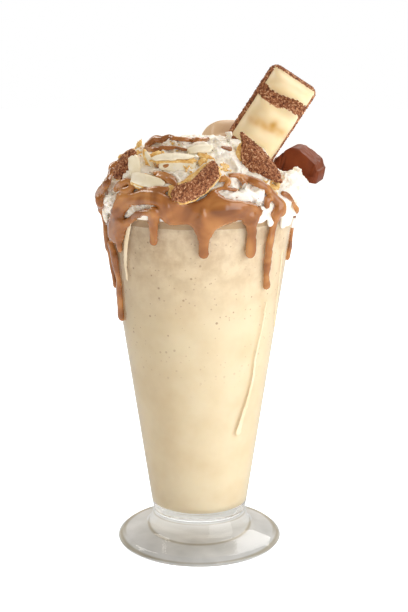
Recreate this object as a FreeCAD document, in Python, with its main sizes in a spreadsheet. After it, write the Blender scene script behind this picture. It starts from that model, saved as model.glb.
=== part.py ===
# A milkshake in a footed glass, in millimetres.
# The glass stands on z = 0 with its axis on Z.  The drink fills it to just under the rim, whipped
# cream is heaped on the drink and hangs a little over the rim, hazelnut sauce lies on the cream's
# front and left and runs down the glass in drips, and bars and broken pieces of wafer stand in the
# cream.  +X is to the drinker's right and -Y is the front.
import FreeCAD, Part
import math
import os

import Sketcher

V = FreeCAD.Vector
doc = FreeCAD.newDocument("milkshake")
sheet = doc.addObject("Spreadsheet::Sheet", "sizes")

# Driving dimensions: alias -> value (mm, or degrees where the name says so).
SIZES = {
    # glass
    "glass_height": 172.0,
    "rim_radius": 46.8,
    "wall": 2.4,
    "rim_round": 1.0,
    "foot_base_radius": 41.0,
    "foot_radius": 42.2,
    "foot_edge_height": 1.7,
    "foot_shoulder_radius": 39.2,
    "foot_shoulder_height": 4.3,
    "foot_crown_radius": 26.5,
    "foot_crown_height": 7.2,
    "neck_radius": 23.3,
    "neck_height": 15.5,
    "cup_base_radius": 24.3,
    "cup_base_height": 20.5,
    "floor_height": 20.0,
    "floor_round": 6.0,
    "foot_round": 2.4,
    "neck_round": 3.0,
    # drink: how far its level is below the rim
    "fill_drop": 4.0,
    # cream: heights over or under the rim, and how far it stands out past the rim
    "cream_skirt_drop": 2.5,
    "cream_skirt_overhang": 0.6,
    "cream_belly_rise": 6.0,
    "cream_belly_overhang": 2.8,
    "cream_top_rise": 34.5,
    "cream_top_radius": 12.0,
    "cream_lobe_depth": 1.8,
    "cream_lobes": 9,
    "cream_twist_degrees": 34.0,
    # sauce: heights over or under the rim
    "sauce_thickness": 2.2,
    "sauce_low_drop": 1.5,
    "sauce_high_rise": 15.0,
    "sauce_start_degrees": 168.0,
    "sauce_sweep_degrees": 150.0,
    "ribbon_radius": 2.4,
    "drip_stand_off": 0.5,
    "drip_root_rise": 4.0,
    # wafer bars: one cross-section for all of them
    "bar_width": 26.0,
    "bar_base": 3.2,
    "bar_ledge": 1.2,
    "bar_dome_height": 14.5,
    "bar_dome_width": 12.0,
    "bar_round": 4.0,
    "valley_half_width": 3.4,
    "valley_depth": 8.0,
    "tall_bar_length": 68.0,
    "tall_bar_valley_1": 13.5,
    "tall_bar_valley_2": 43.5,
    "milk_bar_length": 24.0,
    "rear_bar_length": 27.0,
    # broken shells
    "shell_thickness": 5.0,
    "shell_round": 1.4,
}

# Drips of sauce on the outside of the glass: azimuth (degrees, 270 is the front), how far the tip is
# below the rim, radius at the tip and at the rim.
DRIPS = [
    ("far_left", 181.0, 41.0, 3.0, 3.4),
    ("left", 198.0, 54.5, 2.9, 3.4),
    ("front_left", 243.0, 14.0, 2.1, 2.8),
    ("front", 272.5, 19.5, 2.2, 5.2),
    ("front_right", 300.5, 17.5, 3.0, 3.2),
    ("right", 312.5, 35.5, 2.2, 3.6),
    ("far_right", 345.0, 24.5, 2.2, 2.6),
]
for drip, azimuth, length, tip, neck in DRIPS:
    SIZES["drip_%s_azimuth_degrees" % drip] = azimuth
    SIZES["drip_%s_length" % drip] = length
    SIZES["drip_%s_tip_radius" % drip] = tip
    SIZES["drip_%s_neck_radius" % drip] = neck

# Places on the heap are given in shares: across and towards the back in shares of the cream's belly
# radius, and up in shares of the cream's height over the rim.
# Broken wafer shells: name, mean radius across the face, stretch of the long way, place on the heap,
# and turns in degrees: heading about Z, tilt about X, spin in the shell's own plane.
SHELLS = [
    ("shell_front", 6.2, 1.8, (-0.0343, -0.9073, 0.4290), (4.0, 60.0, 28.0)),
    ("shell_right", 6.6, 2.1, (0.5343, -0.4335, 0.6812), (12.0, 58.0, -60.0)),
    ("shell_left", 7.0, 1.3, (-0.6734, -0.4133, 0.6377), (-48.0, 62.0, 70.0)),
    ("shell_pale", 6.8, 1.5, (-0.2319, -0.6774, 0.6725), (-8.0, 42.0, 2.0)),
    ("shell_low", 5.6, 1.5, (-0.4597, -0.7823, 0.4522), (-20.0, 52.0, -14.0)),
]
for shell, radius, stretch, _shares, _turns in SHELLS:
    SIZES["%s_radius" % shell] = radius
    SIZES["%s_stretch" % shell] = stretch

# Dollops that stand out of the heap: place, radii across, deep and high, all in the same shares, and
# turn about Y.
DOLLOPS = [
    ((0.8770, -0.1008, 0.3623), (0.1714, 0.1714, 0.2029), 20.0),
    ((0.7964, -0.5343, 0.1304), (0.1310, 0.1411, 0.1739), 0.0),
    ((0.2419, -0.1613, 0.8986), (0.1310, 0.1512, 0.2174), 28.0),
    ((-0.1815, -0.0605, 0.9130), (0.2621, 0.1613, 0.1449), -8.0),
    ((0.6048, -0.6452, 0.3188), (0.2419, 0.1815, 0.2029), 24.0),
    ((-0.8569, -0.0403, 0.2464), (0.1310, 0.2419, 0.2609), -12.0),
    ((-0.5444, 0.1815, 0.7246), (0.2621, 0.2218, 0.2029), -30.0),
    ((0.0403, 0.6250, 0.6377), (0.3024, 0.2016, 0.2174), 6.0),
    ((-0.4839, 0.7056, 0.3478), (0.2218, 0.2218, 0.2609), -14.0),
    ((0.7661, 0.4839, 0.4348), (0.2621, 0.2419, 0.2464), 24.0),
]

# Ribbons of sauce poured over the heap: (azimuth in degrees, share of the way from belly to top).
RIBBONS = [
    [(300.0, 0.10), (309.0, 0.36), (300.0, 0.66), (274.0, 0.80), (244.0, 0.74), (226.0, 0.52)],
    [(345.5, -0.18), (344.5, 0.03), (338.0, 0.23), (330.0, 0.38)],
]

for row, (alias, value) in enumerate(SIZES.items(), start=1):
    sheet.set("A%d" % row, alias.replace("_", " "))
    sheet.set("B%d" % row, str(value))
    sheet.setAlias("B%d" % row, alias)
doc.recompute()


def size(alias):
    """A driving dimension as the sheet holds it."""
    return float(sheet.get(alias))


def origin_item(body, role):
    """One of the body's own origin planes or axes."""
    return next(item for item in body.Origin.OriginFeatures if item.Role == role)


def new_body(name):
    body = doc.addObject("PartDesign::Body", name)
    body.Label = name
    return body


def outline_sketch(body, name, plane, corners):
    """A closed outline of straight lines on one of the body's origin planes.  Each corner is a pair of
    expressions in the sheet's aliases, and 0 puts it on the axis."""
    sketch = body.newObject("Sketcher::SketchObject", name)
    sketch.AttachmentSupport = [(origin_item(body, plane), "")]
    sketch.MapMode = "FlatFace"
    values = []
    for pair in corners:
        values.append([0.0 if e == 0 else float(sheet.evalExpression(aliased(e))) for e in pair])
    count = len(corners)
    for i in range(count):
        a, b = values[i], values[(i + 1) % count]
        sketch.addGeometry(Part.LineSegment(V(a[0], a[1], 0), V(b[0], b[1], 0)), False)
    for i in range(count):
        sketch.addConstraint(Sketcher.Constraint("Coincident", i, 2, (i + 1) % count, 1))
    for i, (pair, value) in enumerate(zip(corners, values)):
        if pair[0] == 0 and pair[1] == 0:
            sketch.addConstraint(Sketcher.Constraint("Coincident", i, 1, -1, 1))
            continue
        for kind, axis, expression, number in zip(("DistanceX", "DistanceY"), (-2, -1), pair, value):
            if expression == 0:
                sketch.addConstraint(Sketcher.Constraint("PointOnObject", i, 1, axis))
                continue
            ends = (-1, 1, i, 1) if number > 0 else (i, 1, -1, 1)
            index = sketch.addConstraint(Sketcher.Constraint(kind, *ends, abs(number)))
            label = "%s_%d" % (kind, i)
            sketch.renameConstraint(index, label)
            signed = expression if number > 0 else "-(%s)" % expression
            sketch.setExpression("Constraints." + label, with_sheet(signed))
    return sketch


def with_sheet(expression):
    """The expression with each alias written as a cell of the sheet."""
    for alias in sorted(SIZES, key=len, reverse=True):
        expression = expression.replace(alias, "\0%d\0" % list(SIZES).index(alias))
    for i, alias in enumerate(SIZES):
        expression = expression.replace("\0%d\0" % i, "sizes." + alias)
    return expression


def aliased(expression):
    return with_sheet(expression).replace("sizes.", "")


def revolve(body, sketch, name):
    turned = body.newObject("PartDesign::Revolution", name)
    turned.Profile = sketch
    turned.ReferenceAxis = (sketch, ["V_Axis"])
    turned.Angle = 360.0
    sketch.Visibility = False
    doc.recompute()
    return turned


def circle_edges(feature, places):
    """Names of the full-circle edges of a turned shape that have these (radius, height)."""
    names = []
    for index, edge in enumerate(feature.Shape.Edges, start=1):
        if edge.Curve.TypeId != "Part::GeomCircle":
            continue
        for radius, height in places:
            if abs(edge.Curve.Radius - radius) < 0.01 and abs(edge.Curve.Center.z - height) < 0.01:
                names.append("Edge%d" % index)
    if len(names) != len(places):
        raise RuntimeError("%s: found %d of %d edges" % (feature.Name, len(names), len(places)))
    return names


def fillet(body, feature, name, edges, radius_alias):
    rounded = body.newObject("PartDesign::Fillet", name)
    rounded.Base = (feature, edges)
    rounded.Radius = size(radius_alias)
    rounded.setExpression("Radius", with_sheet(radius_alias))
    doc.recompute()
    return rounded


# Radius of the glass's inner wall at a height, as an expression in the sheet's aliases.
INNER_FLOOR_RADIUS = "(cup_base_radius - wall)"
INNER_RIM_RADIUS = "(rim_radius - wall)"


def inner_radius(height):
    slope = "(%s - %s) / (glass_height - floor_height)" % (INNER_RIM_RADIUS, INNER_FLOOR_RADIUS)
    return "%s + %s * (%s - floor_height)" % (INNER_FLOOR_RADIUS, slope, height)


def outer_radius(height):
    """Radius of the glass's outer wall at a height, in mm."""
    share = (height - size("cup_base_height")) / (size("glass_height") - size("cup_base_height"))
    return size("cup_base_radius") + share * (size("rim_radius") - size("cup_base_radius"))


def make_glass():
    """Pressed clear glass: a flat round foot, a short thick neck and a tall cup that widens upwards."""
    body = new_body("glass")
    corners = [
        (0, 0),
        ("foot_base_radius", 0),
        ("foot_radius", "foot_edge_height"),
        ("foot_shoulder_radius", "foot_shoulder_height"),
        ("foot_crown_radius", "foot_crown_height"),
        ("neck_radius", "neck_height"),
        ("cup_base_radius", "cup_base_height"),
        ("rim_radius", "glass_height"),
        ("rim_radius - wall", "glass_height"),
        ("cup_base_radius - wall", "floor_height"),
        (0, "floor_height"),
    ]
    turned = revolve(body, outline_sketch(body, "glass_outline", "XZ_Plane", corners), "glass_turned")
    rim = [
        (size("rim_radius"), size("glass_height")),
        (size("rim_radius") - size("wall"), size("glass_height")),
    ]
    step = fillet(body, turned, "rim_rounds", circle_edges(turned, rim), "rim_round")
    floor = [(size("cup_base_radius") - size("wall"), size("floor_height"))]
    step = fillet(body, step, "floor_corner", circle_edges(step, floor), "floor_round")
    neck = [
        (size("foot_crown_radius"), size("foot_crown_height")),
        (size("neck_radius"), size("neck_height")),
    ]
    step = fillet(body, step, "neck_rounds", circle_edges(step, neck), "neck_round")
    foot = [(size("foot_shoulder_radius"), size("foot_shoulder_height"))]
    fillet(body, step, "foot_shoulder_round", circle_edges(step, foot), "foot_round")
    return body


FILL_LEVEL = "(glass_height - fill_drop)"


def make_milkshake():
    """The drink, from the cup's floor to the fill level, on the same wall and floor as the cup."""
    body = new_body("milkshake")
    corners = [
        (0, "floor_height"),
        ("cup_base_radius - wall", "floor_height"),
        (inner_radius(FILL_LEVEL), FILL_LEVEL),
        (0, FILL_LEVEL),
    ]
    turned = revolve(body, outline_sketch(body, "drink_outline", "XZ_Plane", corners), "drink_turned")
    floor = [(size("cup_base_radius") - size("wall"), size("floor_height"))]
    fillet(body, turned, "drink_corner", circle_edges(turned, floor), "floor_round")
    return body


def make_bar(name, length_alias, valleys):
    """A wafer bar: a flat base with a narrow ledge, and coated domes above it that fall away at both
    ends and at each valley.  Its base lies on the body's XY plane, and its length runs along +Y."""
    body = new_body(name)
    section = [
        ("-bar_width / 2", 0),
        ("bar_width / 2", 0),
        ("bar_width / 2", "bar_base"),
        ("bar_width / 2 - bar_ledge", "bar_base"),
        ("bar_dome_width / 2", "bar_dome_height"),
        ("-bar_dome_width / 2", "bar_dome_height"),
        ("-(bar_width / 2 - bar_ledge)", "bar_base"),
        ("-bar_width / 2", "bar_base"),
    ]
    sketch = outline_sketch(body, name + "_section", "XZ_Plane", section)
    pad = body.newObject("PartDesign::Pad", name + "_pad")
    pad.Profile = sketch
    pad.Length = size(length_alias)
    pad.setExpression("Length", with_sheet(length_alias))
    pad.Reversed = True
    doc.recompute()
    long_edges = []
    for index, edge in enumerate(pad.Shape.Edges, start=1):
        box = edge.BoundBox
        along = box.YLength > 0.9 * size(length_alias)
        if along and abs(box.ZMax - size("bar_dome_height")) < 0.01:
            long_edges.append("Edge%d" % index)
    step = fillet(body, pad, name + "_dome_rounds", long_edges, "bar_round")
    for number, valley in enumerate(["0"] + valleys + [length_alias], start=1):
        half, deep = "valley_half_width", "bar_dome_height - valley_depth"
        notch = [
            ("%s - 2 * %s" % (valley, half), "bar_dome_height + valley_depth"),
            ("%s - %s / 3" % (valley, half), deep),
            ("%s + %s / 3" % (valley, half), deep),
            ("%s + 2 * %s" % (valley, half), "bar_dome_height + valley_depth"),
        ]
        cut_sketch = outline_sketch(body, "%s_notch_%d" % (name, number), "YZ_Plane", notch)
        before = step.Shape.Volume
        step = body.newObject("PartDesign::Pocket", "%s_valley_%d" % (name, number))
        step.Profile = cut_sketch
        step.Type = "ThroughAll"
        step.Midplane = True
        doc.recompute()
        if not step.Shape.Volume < before - 1:
            raise RuntimeError(name + ": a valley cuts nothing")
    return body


def make_shell(name):
    """A broken flake of wafer shell: a plate with an uneven seven-sided outline, in its own XY plane."""
    body = new_body(name)
    sides = 7
    corners = []
    for i in range(sides):
        angle = 2 * math.pi * i / sides + 0.15 * math.sin(2.3 * i)
        share = 1.0 + 0.12 * math.sin(1.7 * i + len(name))
        along = "%s_radius * %s_stretch * %.4f" % (name, name, share * math.cos(angle))
        across = "%s_radius * %.4f" % (name, share * math.sin(angle))
        corners.append((along, across if i else 0))
    sketch = outline_sketch(body, name + "_outline", "XY_Plane", corners)
    pad = body.newObject("PartDesign::Pad", name + "_plate")
    pad.Profile = sketch
    pad.Length = size("shell_thickness")
    pad.setExpression("Length", with_sheet("shell_thickness"))
    doc.recompute()
    rim = []
    for index, edge in enumerate(pad.Shape.Edges, start=1):
        if edge.BoundBox.ZLength < 0.01 and abs(edge.BoundBox.ZMax - size("shell_thickness")) < 0.01:
            rim.append("Edge%d" % index)
    fillet(body, pad, name + "_rim_round", rim, "shell_round")
    return body


def rim_plus(alias):
    """A height that is an alias above the rim."""
    return size("glass_height") + size(alias)


def belly_radius():
    return size("rim_radius") + size("cream_belly_overhang")


def on_heap(across, back, up):
    """A place on the heap, from its shares of the belly radius and of the height over the rim."""
    height = size("glass_height") + up * size("cream_top_rise")
    return (across * belly_radius(), back * belly_radius(), height)


def place(body, shares, turns):
    """Puts the body's origin at a place on the heap, with a heading about Z, a tilt about X and a spin
    about its own Z (degrees)."""
    heading, tilt, spin = turns
    turn = FreeCAD.Rotation(V(0, 0, 1), heading)
    turn = turn.multiply(FreeCAD.Rotation(V(1, 0, 0), tilt))
    turn = turn.multiply(FreeCAD.Rotation(V(0, 0, 1), spin))
    body.Placement = FreeCAD.Placement(V(*on_heap(*shares)), turn)


# Levels of the heap's outline, as shares of the way from skirt to belly and from belly to top.
SKIRT_LEVELS = [0.0, 0.45, 1.0]
SLOPE_LEVELS = [(0.30, 0.05), (0.55, 0.20), (0.76, 0.42), (0.91, 0.68), (1.0, 1.0)]


def skirt_height():
    return size("glass_height") - size("cream_skirt_drop")


def heap_levels():
    """(height, radius, lobe depth) of each level of the cream, from the skirt to the top."""
    low, belly, top = skirt_height(), rim_plus("cream_belly_rise"), rim_plus("cream_top_rise")
    skirt_radius = size("rim_radius") + size("cream_skirt_overhang")
    depth = size("cream_lobe_depth")
    levels = []
    for share in SKIRT_LEVELS:
        radius = skirt_radius + share * (belly_radius() - skirt_radius)
        levels.append((low + share * (belly - low), radius, depth * share))
    for up, inward in SLOPE_LEVELS:
        radius = belly_radius() + inward * (size("cream_top_radius") - belly_radius())
        levels.append((belly + up * (top - belly), radius, depth * (1.0 - 0.5 * up)))
    return levels


def heap_point(height, radius, depth, angle):
    """A point of the heap's surface at a level.  The lobes twist as they rise."""
    low, top = skirt_height(), rim_plus("cream_top_rise")
    twist = math.radians(size("cream_twist_degrees")) * (height - low) / (top - low)
    lobes = math.cos(size("cream_lobes") * (angle - twist)) + 0.4 * math.sin(3 * angle + 5 * twist)
    reach = radius + depth * lobes
    return V(reach * math.cos(angle), reach * math.sin(angle), height)


def lobed_solid(extra):
    """A smooth solid through the heap's lobed rings, swollen by the extra reach."""
    points_round = 6 * int(size("cream_lobes"))
    rings = []
    for height, radius, depth in heap_levels():
        angles = [2 * math.pi * i / points_round for i in range(points_round)]
        curve = Part.BSplineCurve()
        curve.interpolate(
            Points=[heap_point(height, radius + extra, depth, angle) for angle in angles], PeriodicFlag=True
        )
        rings.append(Part.Wire([curve.toShape()]))
    return Part.makeLoft(rings, True, False)


def on_slope(azimuth, share):
    """A point of the heap's surface at an azimuth (degrees) and a share of the way from belly to top."""
    belly, top = rim_plus("cream_belly_rise"), rim_plus("cream_top_rise")
    height = belly + share * (top - belly)
    levels = heap_levels()
    for (h0, r0, d0), (h1, r1, d1) in zip(levels, levels[1:]):
        if h0 <= height <= h1:
            mix = (height - h0) / (h1 - h0)
            return heap_point(height, r0 + mix * (r1 - r0), d0 + mix * (d1 - d0), math.radians(azimuth))
    raise ValueError("no level holds the share %s" % share)


def feature(name, shape):
    """A document object that holds a computed shape."""
    made = doc.addObject("Part::Feature", name)
    made.Shape = shape
    made.Placement = FreeCAD.Placement()
    return made


# Latitude, in degrees, at which a ball stops in a small flat instead of running on to its pole.
BALL_REACH = 82.0


def fuse(name, pieces):
    """One object that joins the pieces in turn."""
    base = pieces[0]
    for number, piece in enumerate(pieces[1:], start=1):
        step = doc.addObject("Part::Fuse", "%s_joined_%d" % (name, number))
        step.Base = base
        step.Tool = piece
        step.Refine = False
        base = step
    return base


def cut(name, base, tools):
    """The base with the space of each tool it meets taken out of it in turn."""
    doc.recompute()
    reach = base.Shape.BoundBox
    for tool in [tool for tool in tools if reach.intersect(tool.Shape.BoundBox)]:
        step = doc.addObject("Part::Cut", "%s_less_%s" % (name, tool.Name))
        step.Base = base
        step.Tool = tool
        step.Refine = False
        base = step
    doc.recompute()
    return base


def make_cream(room):
    """Whipped cream: a lobed heap with dollops standing out of it, and a plug that fills the top of the
    cup between the drink and the heap."""
    pieces = [feature("cream_heap", lobed_solid(0.0))]
    for number, (shares, radii, lean) in enumerate(DOLLOPS, start=1):
        dollop = doc.addObject("Part::Ellipsoid", "cream_dollop_%d" % number)
        across, deep, high = radii
        dollop.Radius2, dollop.Radius3 = across * belly_radius(), deep * belly_radius()
        dollop.Radius1 = high * size("cream_top_rise")
        dollop.Angle1, dollop.Angle2 = -BALL_REACH, BALL_REACH
        dollop.Placement = FreeCAD.Placement(V(*on_heap(*shares)), FreeCAD.Rotation(V(0, 1, 0), lean))
        pieces.append(dollop)
    plug = doc.addObject("Part::Cylinder", "cream_plug")
    plug.Radius = size("rim_radius")
    plug.setExpression("Radius", with_sheet("rim_radius - wall / 2"))
    plug.setExpression("Height", with_sheet("fill_drop"))
    plug.Placement = FreeCAD.Placement(V(0, 0, size("glass_height") - size("fill_drop")), FreeCAD.Rotation())
    cream = cut("cream", fuse("cream", pieces + [plug]), room)
    cream.Label = "whipped_cream"
    return cream


def make_drip(drip):
    """A run of sauce on the outer wall: a cone that leans with the wall, with a round bead at its tip."""
    azimuth = size("drip_%s_azimuth_degrees" % drip)
    tip_radius = size("drip_%s_tip_radius" % drip)
    low = size("glass_height") - size("drip_%s_length" % drip) + tip_radius
    high = rim_plus("drip_root_rise")
    direction = V(math.cos(math.radians(azimuth)), math.sin(math.radians(azimuth)), 0)
    stand_off = size("drip_stand_off")
    start = direction * (outer_radius(low) + stand_off) + V(0, 0, low)
    end = direction * (outer_radius(high) + stand_off) + V(0, 0, high)
    way = end - start
    cone = doc.addObject("Part::Cone", "drip_%s_run" % drip)
    cone.setExpression("Radius1", with_sheet("drip_%s_tip_radius * 0.86" % drip))
    cone.setExpression("Radius2", with_sheet("drip_%s_neck_radius" % drip))
    cone.Height = way.Length
    cone.Placement = FreeCAD.Placement(start, FreeCAD.Rotation(V(0, 0, 1), way))
    bead = doc.addObject("Part::Sphere", "drip_%s_bead" % drip)
    bead.Angle1, bead.Angle2 = -BALL_REACH, BALL_REACH
    bead.setExpression("Radius", with_sheet("drip_%s_tip_radius" % drip))
    bead.Placement = FreeCAD.Placement(start, FreeCAD.Rotation())
    return [cone, bead]


def between(before, start, end, after, mix):
    """A value on the smooth curve through four evenly spaced values, between the middle two."""
    slope_in, slope_out = (end - before) / 2, (after - start) / 2
    ease = mix * mix * (3 - 2 * mix)
    bend = mix * (1 - mix) * ((1 - mix) * slope_in - mix * slope_out)
    return start + (end - start) * ease + bend


def make_ribbon(number, stations):
    """A poured ribbon of sauce: a round cord that follows the heap's surface to a round end."""
    steps = 4
    padded = [stations[0]] + stations + [stations[-1]]
    points = []
    for i in range(1, len(padded) - 2):
        for step in range(steps):
            mix = step / steps
            azimuth, share = [between(*[padded[i + k][axis] for k in (-1, 0, 1, 2)], mix) for axis in (0, 1)]
            points.append(on_slope(azimuth, share))
    points.append(on_slope(*stations[-1]))
    curve = Part.BSplineCurve()
    curve.interpolate(Points=points)
    start_way = curve.tangent(curve.FirstParameter)[0]
    profile = Part.Wire([Part.makeCircle(size("ribbon_radius"), points[0], start_way)])
    path = Part.Wire([curve.toShape()])
    cord = feature("ribbon_%d_cord" % number, path.makePipeShell([profile], True, True))
    tip = doc.addObject("Part::Sphere", "ribbon_%d_tip" % number)
    tip.Angle1, tip.Angle2 = -BALL_REACH, BALL_REACH
    tip.setExpression("Radius", with_sheet("ribbon_radius"))
    tip.Placement = FreeCAD.Placement(points[-1], FreeCAD.Rotation())
    return [cord, tip]


def make_sauce(glass, milkshake, cream, toppings):
    """Sauce: a skin over the cream's front and left that hangs over the rim, ribbons poured over the
    heap, and the drips on the glass.  Each piece is trimmed first and joined after."""
    skin = feature("sauce_skin", lobed_solid(size("sauce_thickness")))
    sector = doc.addObject("Part::Cylinder", "sauce_sector")
    sector.setExpression("Radius", with_sheet("2 * (rim_radius + cream_belly_overhang)"))
    sector.setExpression("Height", with_sheet("sauce_high_rise + sauce_low_drop"))
    sector.setExpression("Angle", with_sheet("sauce_sweep_degrees"))
    turn = FreeCAD.Rotation(V(0, 0, 1), size("sauce_start_degrees"))
    sector.Placement = FreeCAD.Placement(V(0, 0, size("glass_height") - size("sauce_low_drop")), turn)
    band = doc.addObject("Part::Common", "sauce_band")
    band.Base = skin
    band.Tool = sector
    pieces = [cut("sauce_rim", band, [glass, cream] + toppings)]
    for drip, *_rest in DRIPS:
        for piece in make_drip(drip):
            pieces.append(cut(piece.Name, piece, [glass, milkshake, cream]))
    for number, stations in enumerate(RIBBONS, start=1):
        for piece in make_ribbon(number, stations):
            pieces.append(cut(piece.Name, piece, [cream] + toppings))
    sauce = fuse("sauce", pieces)
    sauce.Label = "hazelnut_sauce"
    doc.recompute()
    return sauce


glass = make_glass()
milkshake = make_milkshake()

wafer_bar = make_bar("wafer_bar", "tall_bar_length", ["tall_bar_valley_1", "tall_bar_valley_2"])
milk_bar = make_bar("milk_chocolate_bar", "milk_bar_length", [])
rear_bar = make_bar("rear_bar", "rear_bar_length", [])
# The tall bar's length runs down and to the left from its top end, and its domes face the front.
turn = FreeCAD.Rotation(V(0, 1, 0), 33.0)
turn = turn.multiply(FreeCAD.Rotation(V(1, 0, 0), -90.0))
turn = turn.multiply(FreeCAD.Rotation(V(0, 1, 0), 180.0 - 8.0))
wafer_bar.Placement = FreeCAD.Placement(V(*on_heap(0.9536, 0.2419, 1.8203)), turn)
place(rear_bar, (0.3629, 0.3629, 0.7942), (18.0, -12.0, 0.0))
# The milk bar lies beside the tall bar, so it moves aside with the bars' width.
place(milk_bar, (1.0122, 0.3768, 0.4699), (75.0, 15.0, 0.0))
beside = turn.multVec(V(-1, 0, 0)) * (size("bar_width") / 2)
milk_bar.Placement = FreeCAD.Placement(milk_bar.Placement.Base + beside, milk_bar.Placement.Rotation)
shells = []
for shell, _radius, _stretch, shares, turns in SHELLS:
    piece = make_shell(shell)
    place(piece, shares, turns)
    shells.append(piece)
doc.recompute()

toppings = [wafer_bar, milk_bar, rear_bar] + shells
cream = make_cream([glass, milkshake] + toppings)
sauce = make_sauce(glass, milkshake, cream, toppings)

doc.recompute()
for item in doc.Objects:
    if "Invalid" in item.State or "Error" in item.State:
        raise RuntimeError("%s failed to build: %s" % (item.Name, item.State))

nodes = [glass, milkshake, cream, sauce] + toppings
os.makedirs("parts", exist_ok=True)
for node in nodes:
    shape = node.Shape
    if shape.isNull() or not shape.isValid() or not shape.Solids:
        raise RuntimeError(node.Label + " is not a valid solid")
    print("%-20s %d solid(s) %10.1f mm3" % (node.Label, len(shape.Solids), shape.Volume))
    shape.exportStep("parts/%s.step" % node.Label)
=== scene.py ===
import math
import random

import bmesh
import bpy
import numpy as np
from mathutils import Matrix, Vector, noise
from mathutils.bvhtree import BVHTree


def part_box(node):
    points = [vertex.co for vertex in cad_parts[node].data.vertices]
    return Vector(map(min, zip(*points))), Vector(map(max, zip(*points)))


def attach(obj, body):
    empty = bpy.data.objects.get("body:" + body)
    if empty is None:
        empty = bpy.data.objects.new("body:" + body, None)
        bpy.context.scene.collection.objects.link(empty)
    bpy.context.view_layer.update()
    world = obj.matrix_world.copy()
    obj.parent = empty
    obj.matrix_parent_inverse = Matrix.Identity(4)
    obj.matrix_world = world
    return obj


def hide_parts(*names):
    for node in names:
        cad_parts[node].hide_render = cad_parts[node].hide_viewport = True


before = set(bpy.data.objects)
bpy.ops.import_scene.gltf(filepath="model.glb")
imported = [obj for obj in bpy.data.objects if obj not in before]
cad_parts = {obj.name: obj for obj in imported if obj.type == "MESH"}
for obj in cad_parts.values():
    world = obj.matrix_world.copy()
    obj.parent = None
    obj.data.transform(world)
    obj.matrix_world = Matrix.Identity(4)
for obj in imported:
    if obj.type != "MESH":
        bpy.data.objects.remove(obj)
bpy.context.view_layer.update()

MM = 0.001

# ---------------------------------------------------------------------------------------------------
# The stage: a wide pale floor under the glass, a white surround, broad soft lamps at the right and
# behind with a small one at the left, and a camera a little above the rim.
# ---------------------------------------------------------------------------------------------------
CAMERA_SPOT = Vector((2.4, -642.0, 266.2)) * MM
CAMERA_AIM = Vector((2.4, 0.0, 122.0)) * MM

scene = bpy.context.scene
scene.view_settings.view_transform = "Standard"
scene.view_settings.look = "None"

camera_data = bpy.data.cameras.new("camera")
camera_data.lens, camera_data.sensor_width = 77.4, 36.0
camera = bpy.data.objects.new("camera", camera_data)
camera.location = CAMERA_SPOT
camera.rotation_euler = (CAMERA_AIM - CAMERA_SPOT).to_track_quat("-Z", "Y").to_euler()
scene.collection.objects.link(camera)
scene.camera = camera


def lamp(name, spot, aim, size, watts, tint):
    """A square soft lamp at a spot, turned to its aim (metres)."""
    data = bpy.data.lights.new(name, "AREA")
    data.size, data.energy, data.color = size, watts, tint
    made = bpy.data.objects.new(name, data)
    made.location = spot
    made.rotation_euler = (Vector(aim) - Vector(spot)).to_track_quat("-Z", "Y").to_euler()
    scene.collection.objects.link(made)


lamp("window_right", (0.78, -0.60, 0.42), (0, 0, 0.13), 1.10, 7.6, (0.95, 0.975, 1.0))
lamp("window_back", (0.40, 0.62, 0.90), (0, 0, 0.18), 0.90, 7.5, (1.0, 0.99, 0.97))
lamp("window_left", (-0.55, 0.35, 0.75), (0, 0, 0.18), 0.35, 1.6, (1.0, 0.98, 0.95))


def maths(tree, operation, a, b=0.0):
    """A number node working on two plain numbers or outputs."""
    made = tree.nodes.new("ShaderNodeMath")
    made.operation = operation
    for socket, value in zip(made.inputs, (a, b)):
        if isinstance(value, (int, float)):
            socket.default_value = value
        else:
            tree.links.new(value, socket)
    return made.outputs[0]


def either_shader(tree, share, first, second):
    """The first shader where the share is 0 and the second where it is 1."""
    made = tree.nodes.new("ShaderNodeMixShader")
    for socket, value in zip(made.inputs, (share, first, second)):
        tree.links.new(value, socket)
    return made.outputs[0]


def glow(tree, kind, colour, strength):
    """A plain light-giving shader of one colour."""
    made = tree.nodes.new(kind)
    made.inputs["Color"].default_value = colour
    made.inputs["Strength"].default_value = strength
    return made.outputs[0]


# Light counts as early until it has turned this often.
FEW_TURNS = 2.5

# The surround is white to look at, a cool grey straight through clear glass, and a warm dim room
# for every other light.
world = bpy.data.worlds.new("surround")
world.use_nodes = True
sky = world.node_tree
sky.nodes.clear()
paths = sky.nodes.new("ShaderNodeLightPath").outputs
seen = glow(sky, "ShaderNodeBackground", (1, 1, 1, 1), 1.0)
cool_grey = glow(sky, "ShaderNodeBackground", (0.88, 0.91, 0.94, 1), 0.72)
warm_room = glow(sky, "ShaderNodeBackground", (1.0, 0.80, 0.58, 1), 0.43)
early = maths(sky, "LESS_THAN", paths["Ray Depth"], FEW_TURNS)
through_glass = maths(sky, "MULTIPLY", early, paths["Is Transmission Ray"])
unseen = either_shader(sky, through_glass, warm_room, cool_grey)
surround = either_shader(sky, paths["Is Camera Ray"], unseen, seen)
sky.links.new(surround, sky.nodes.new("ShaderNodeOutputWorld").inputs["Surface"])
scene.world = world


def new_material(name):
    """A material with one Principled shader.  Gives the material, its node tree and the shader."""
    material = bpy.data.materials.new(name)
    material.use_nodes = True
    return material, material.node_tree, material.node_tree.nodes["Principled BSDF"]


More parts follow.
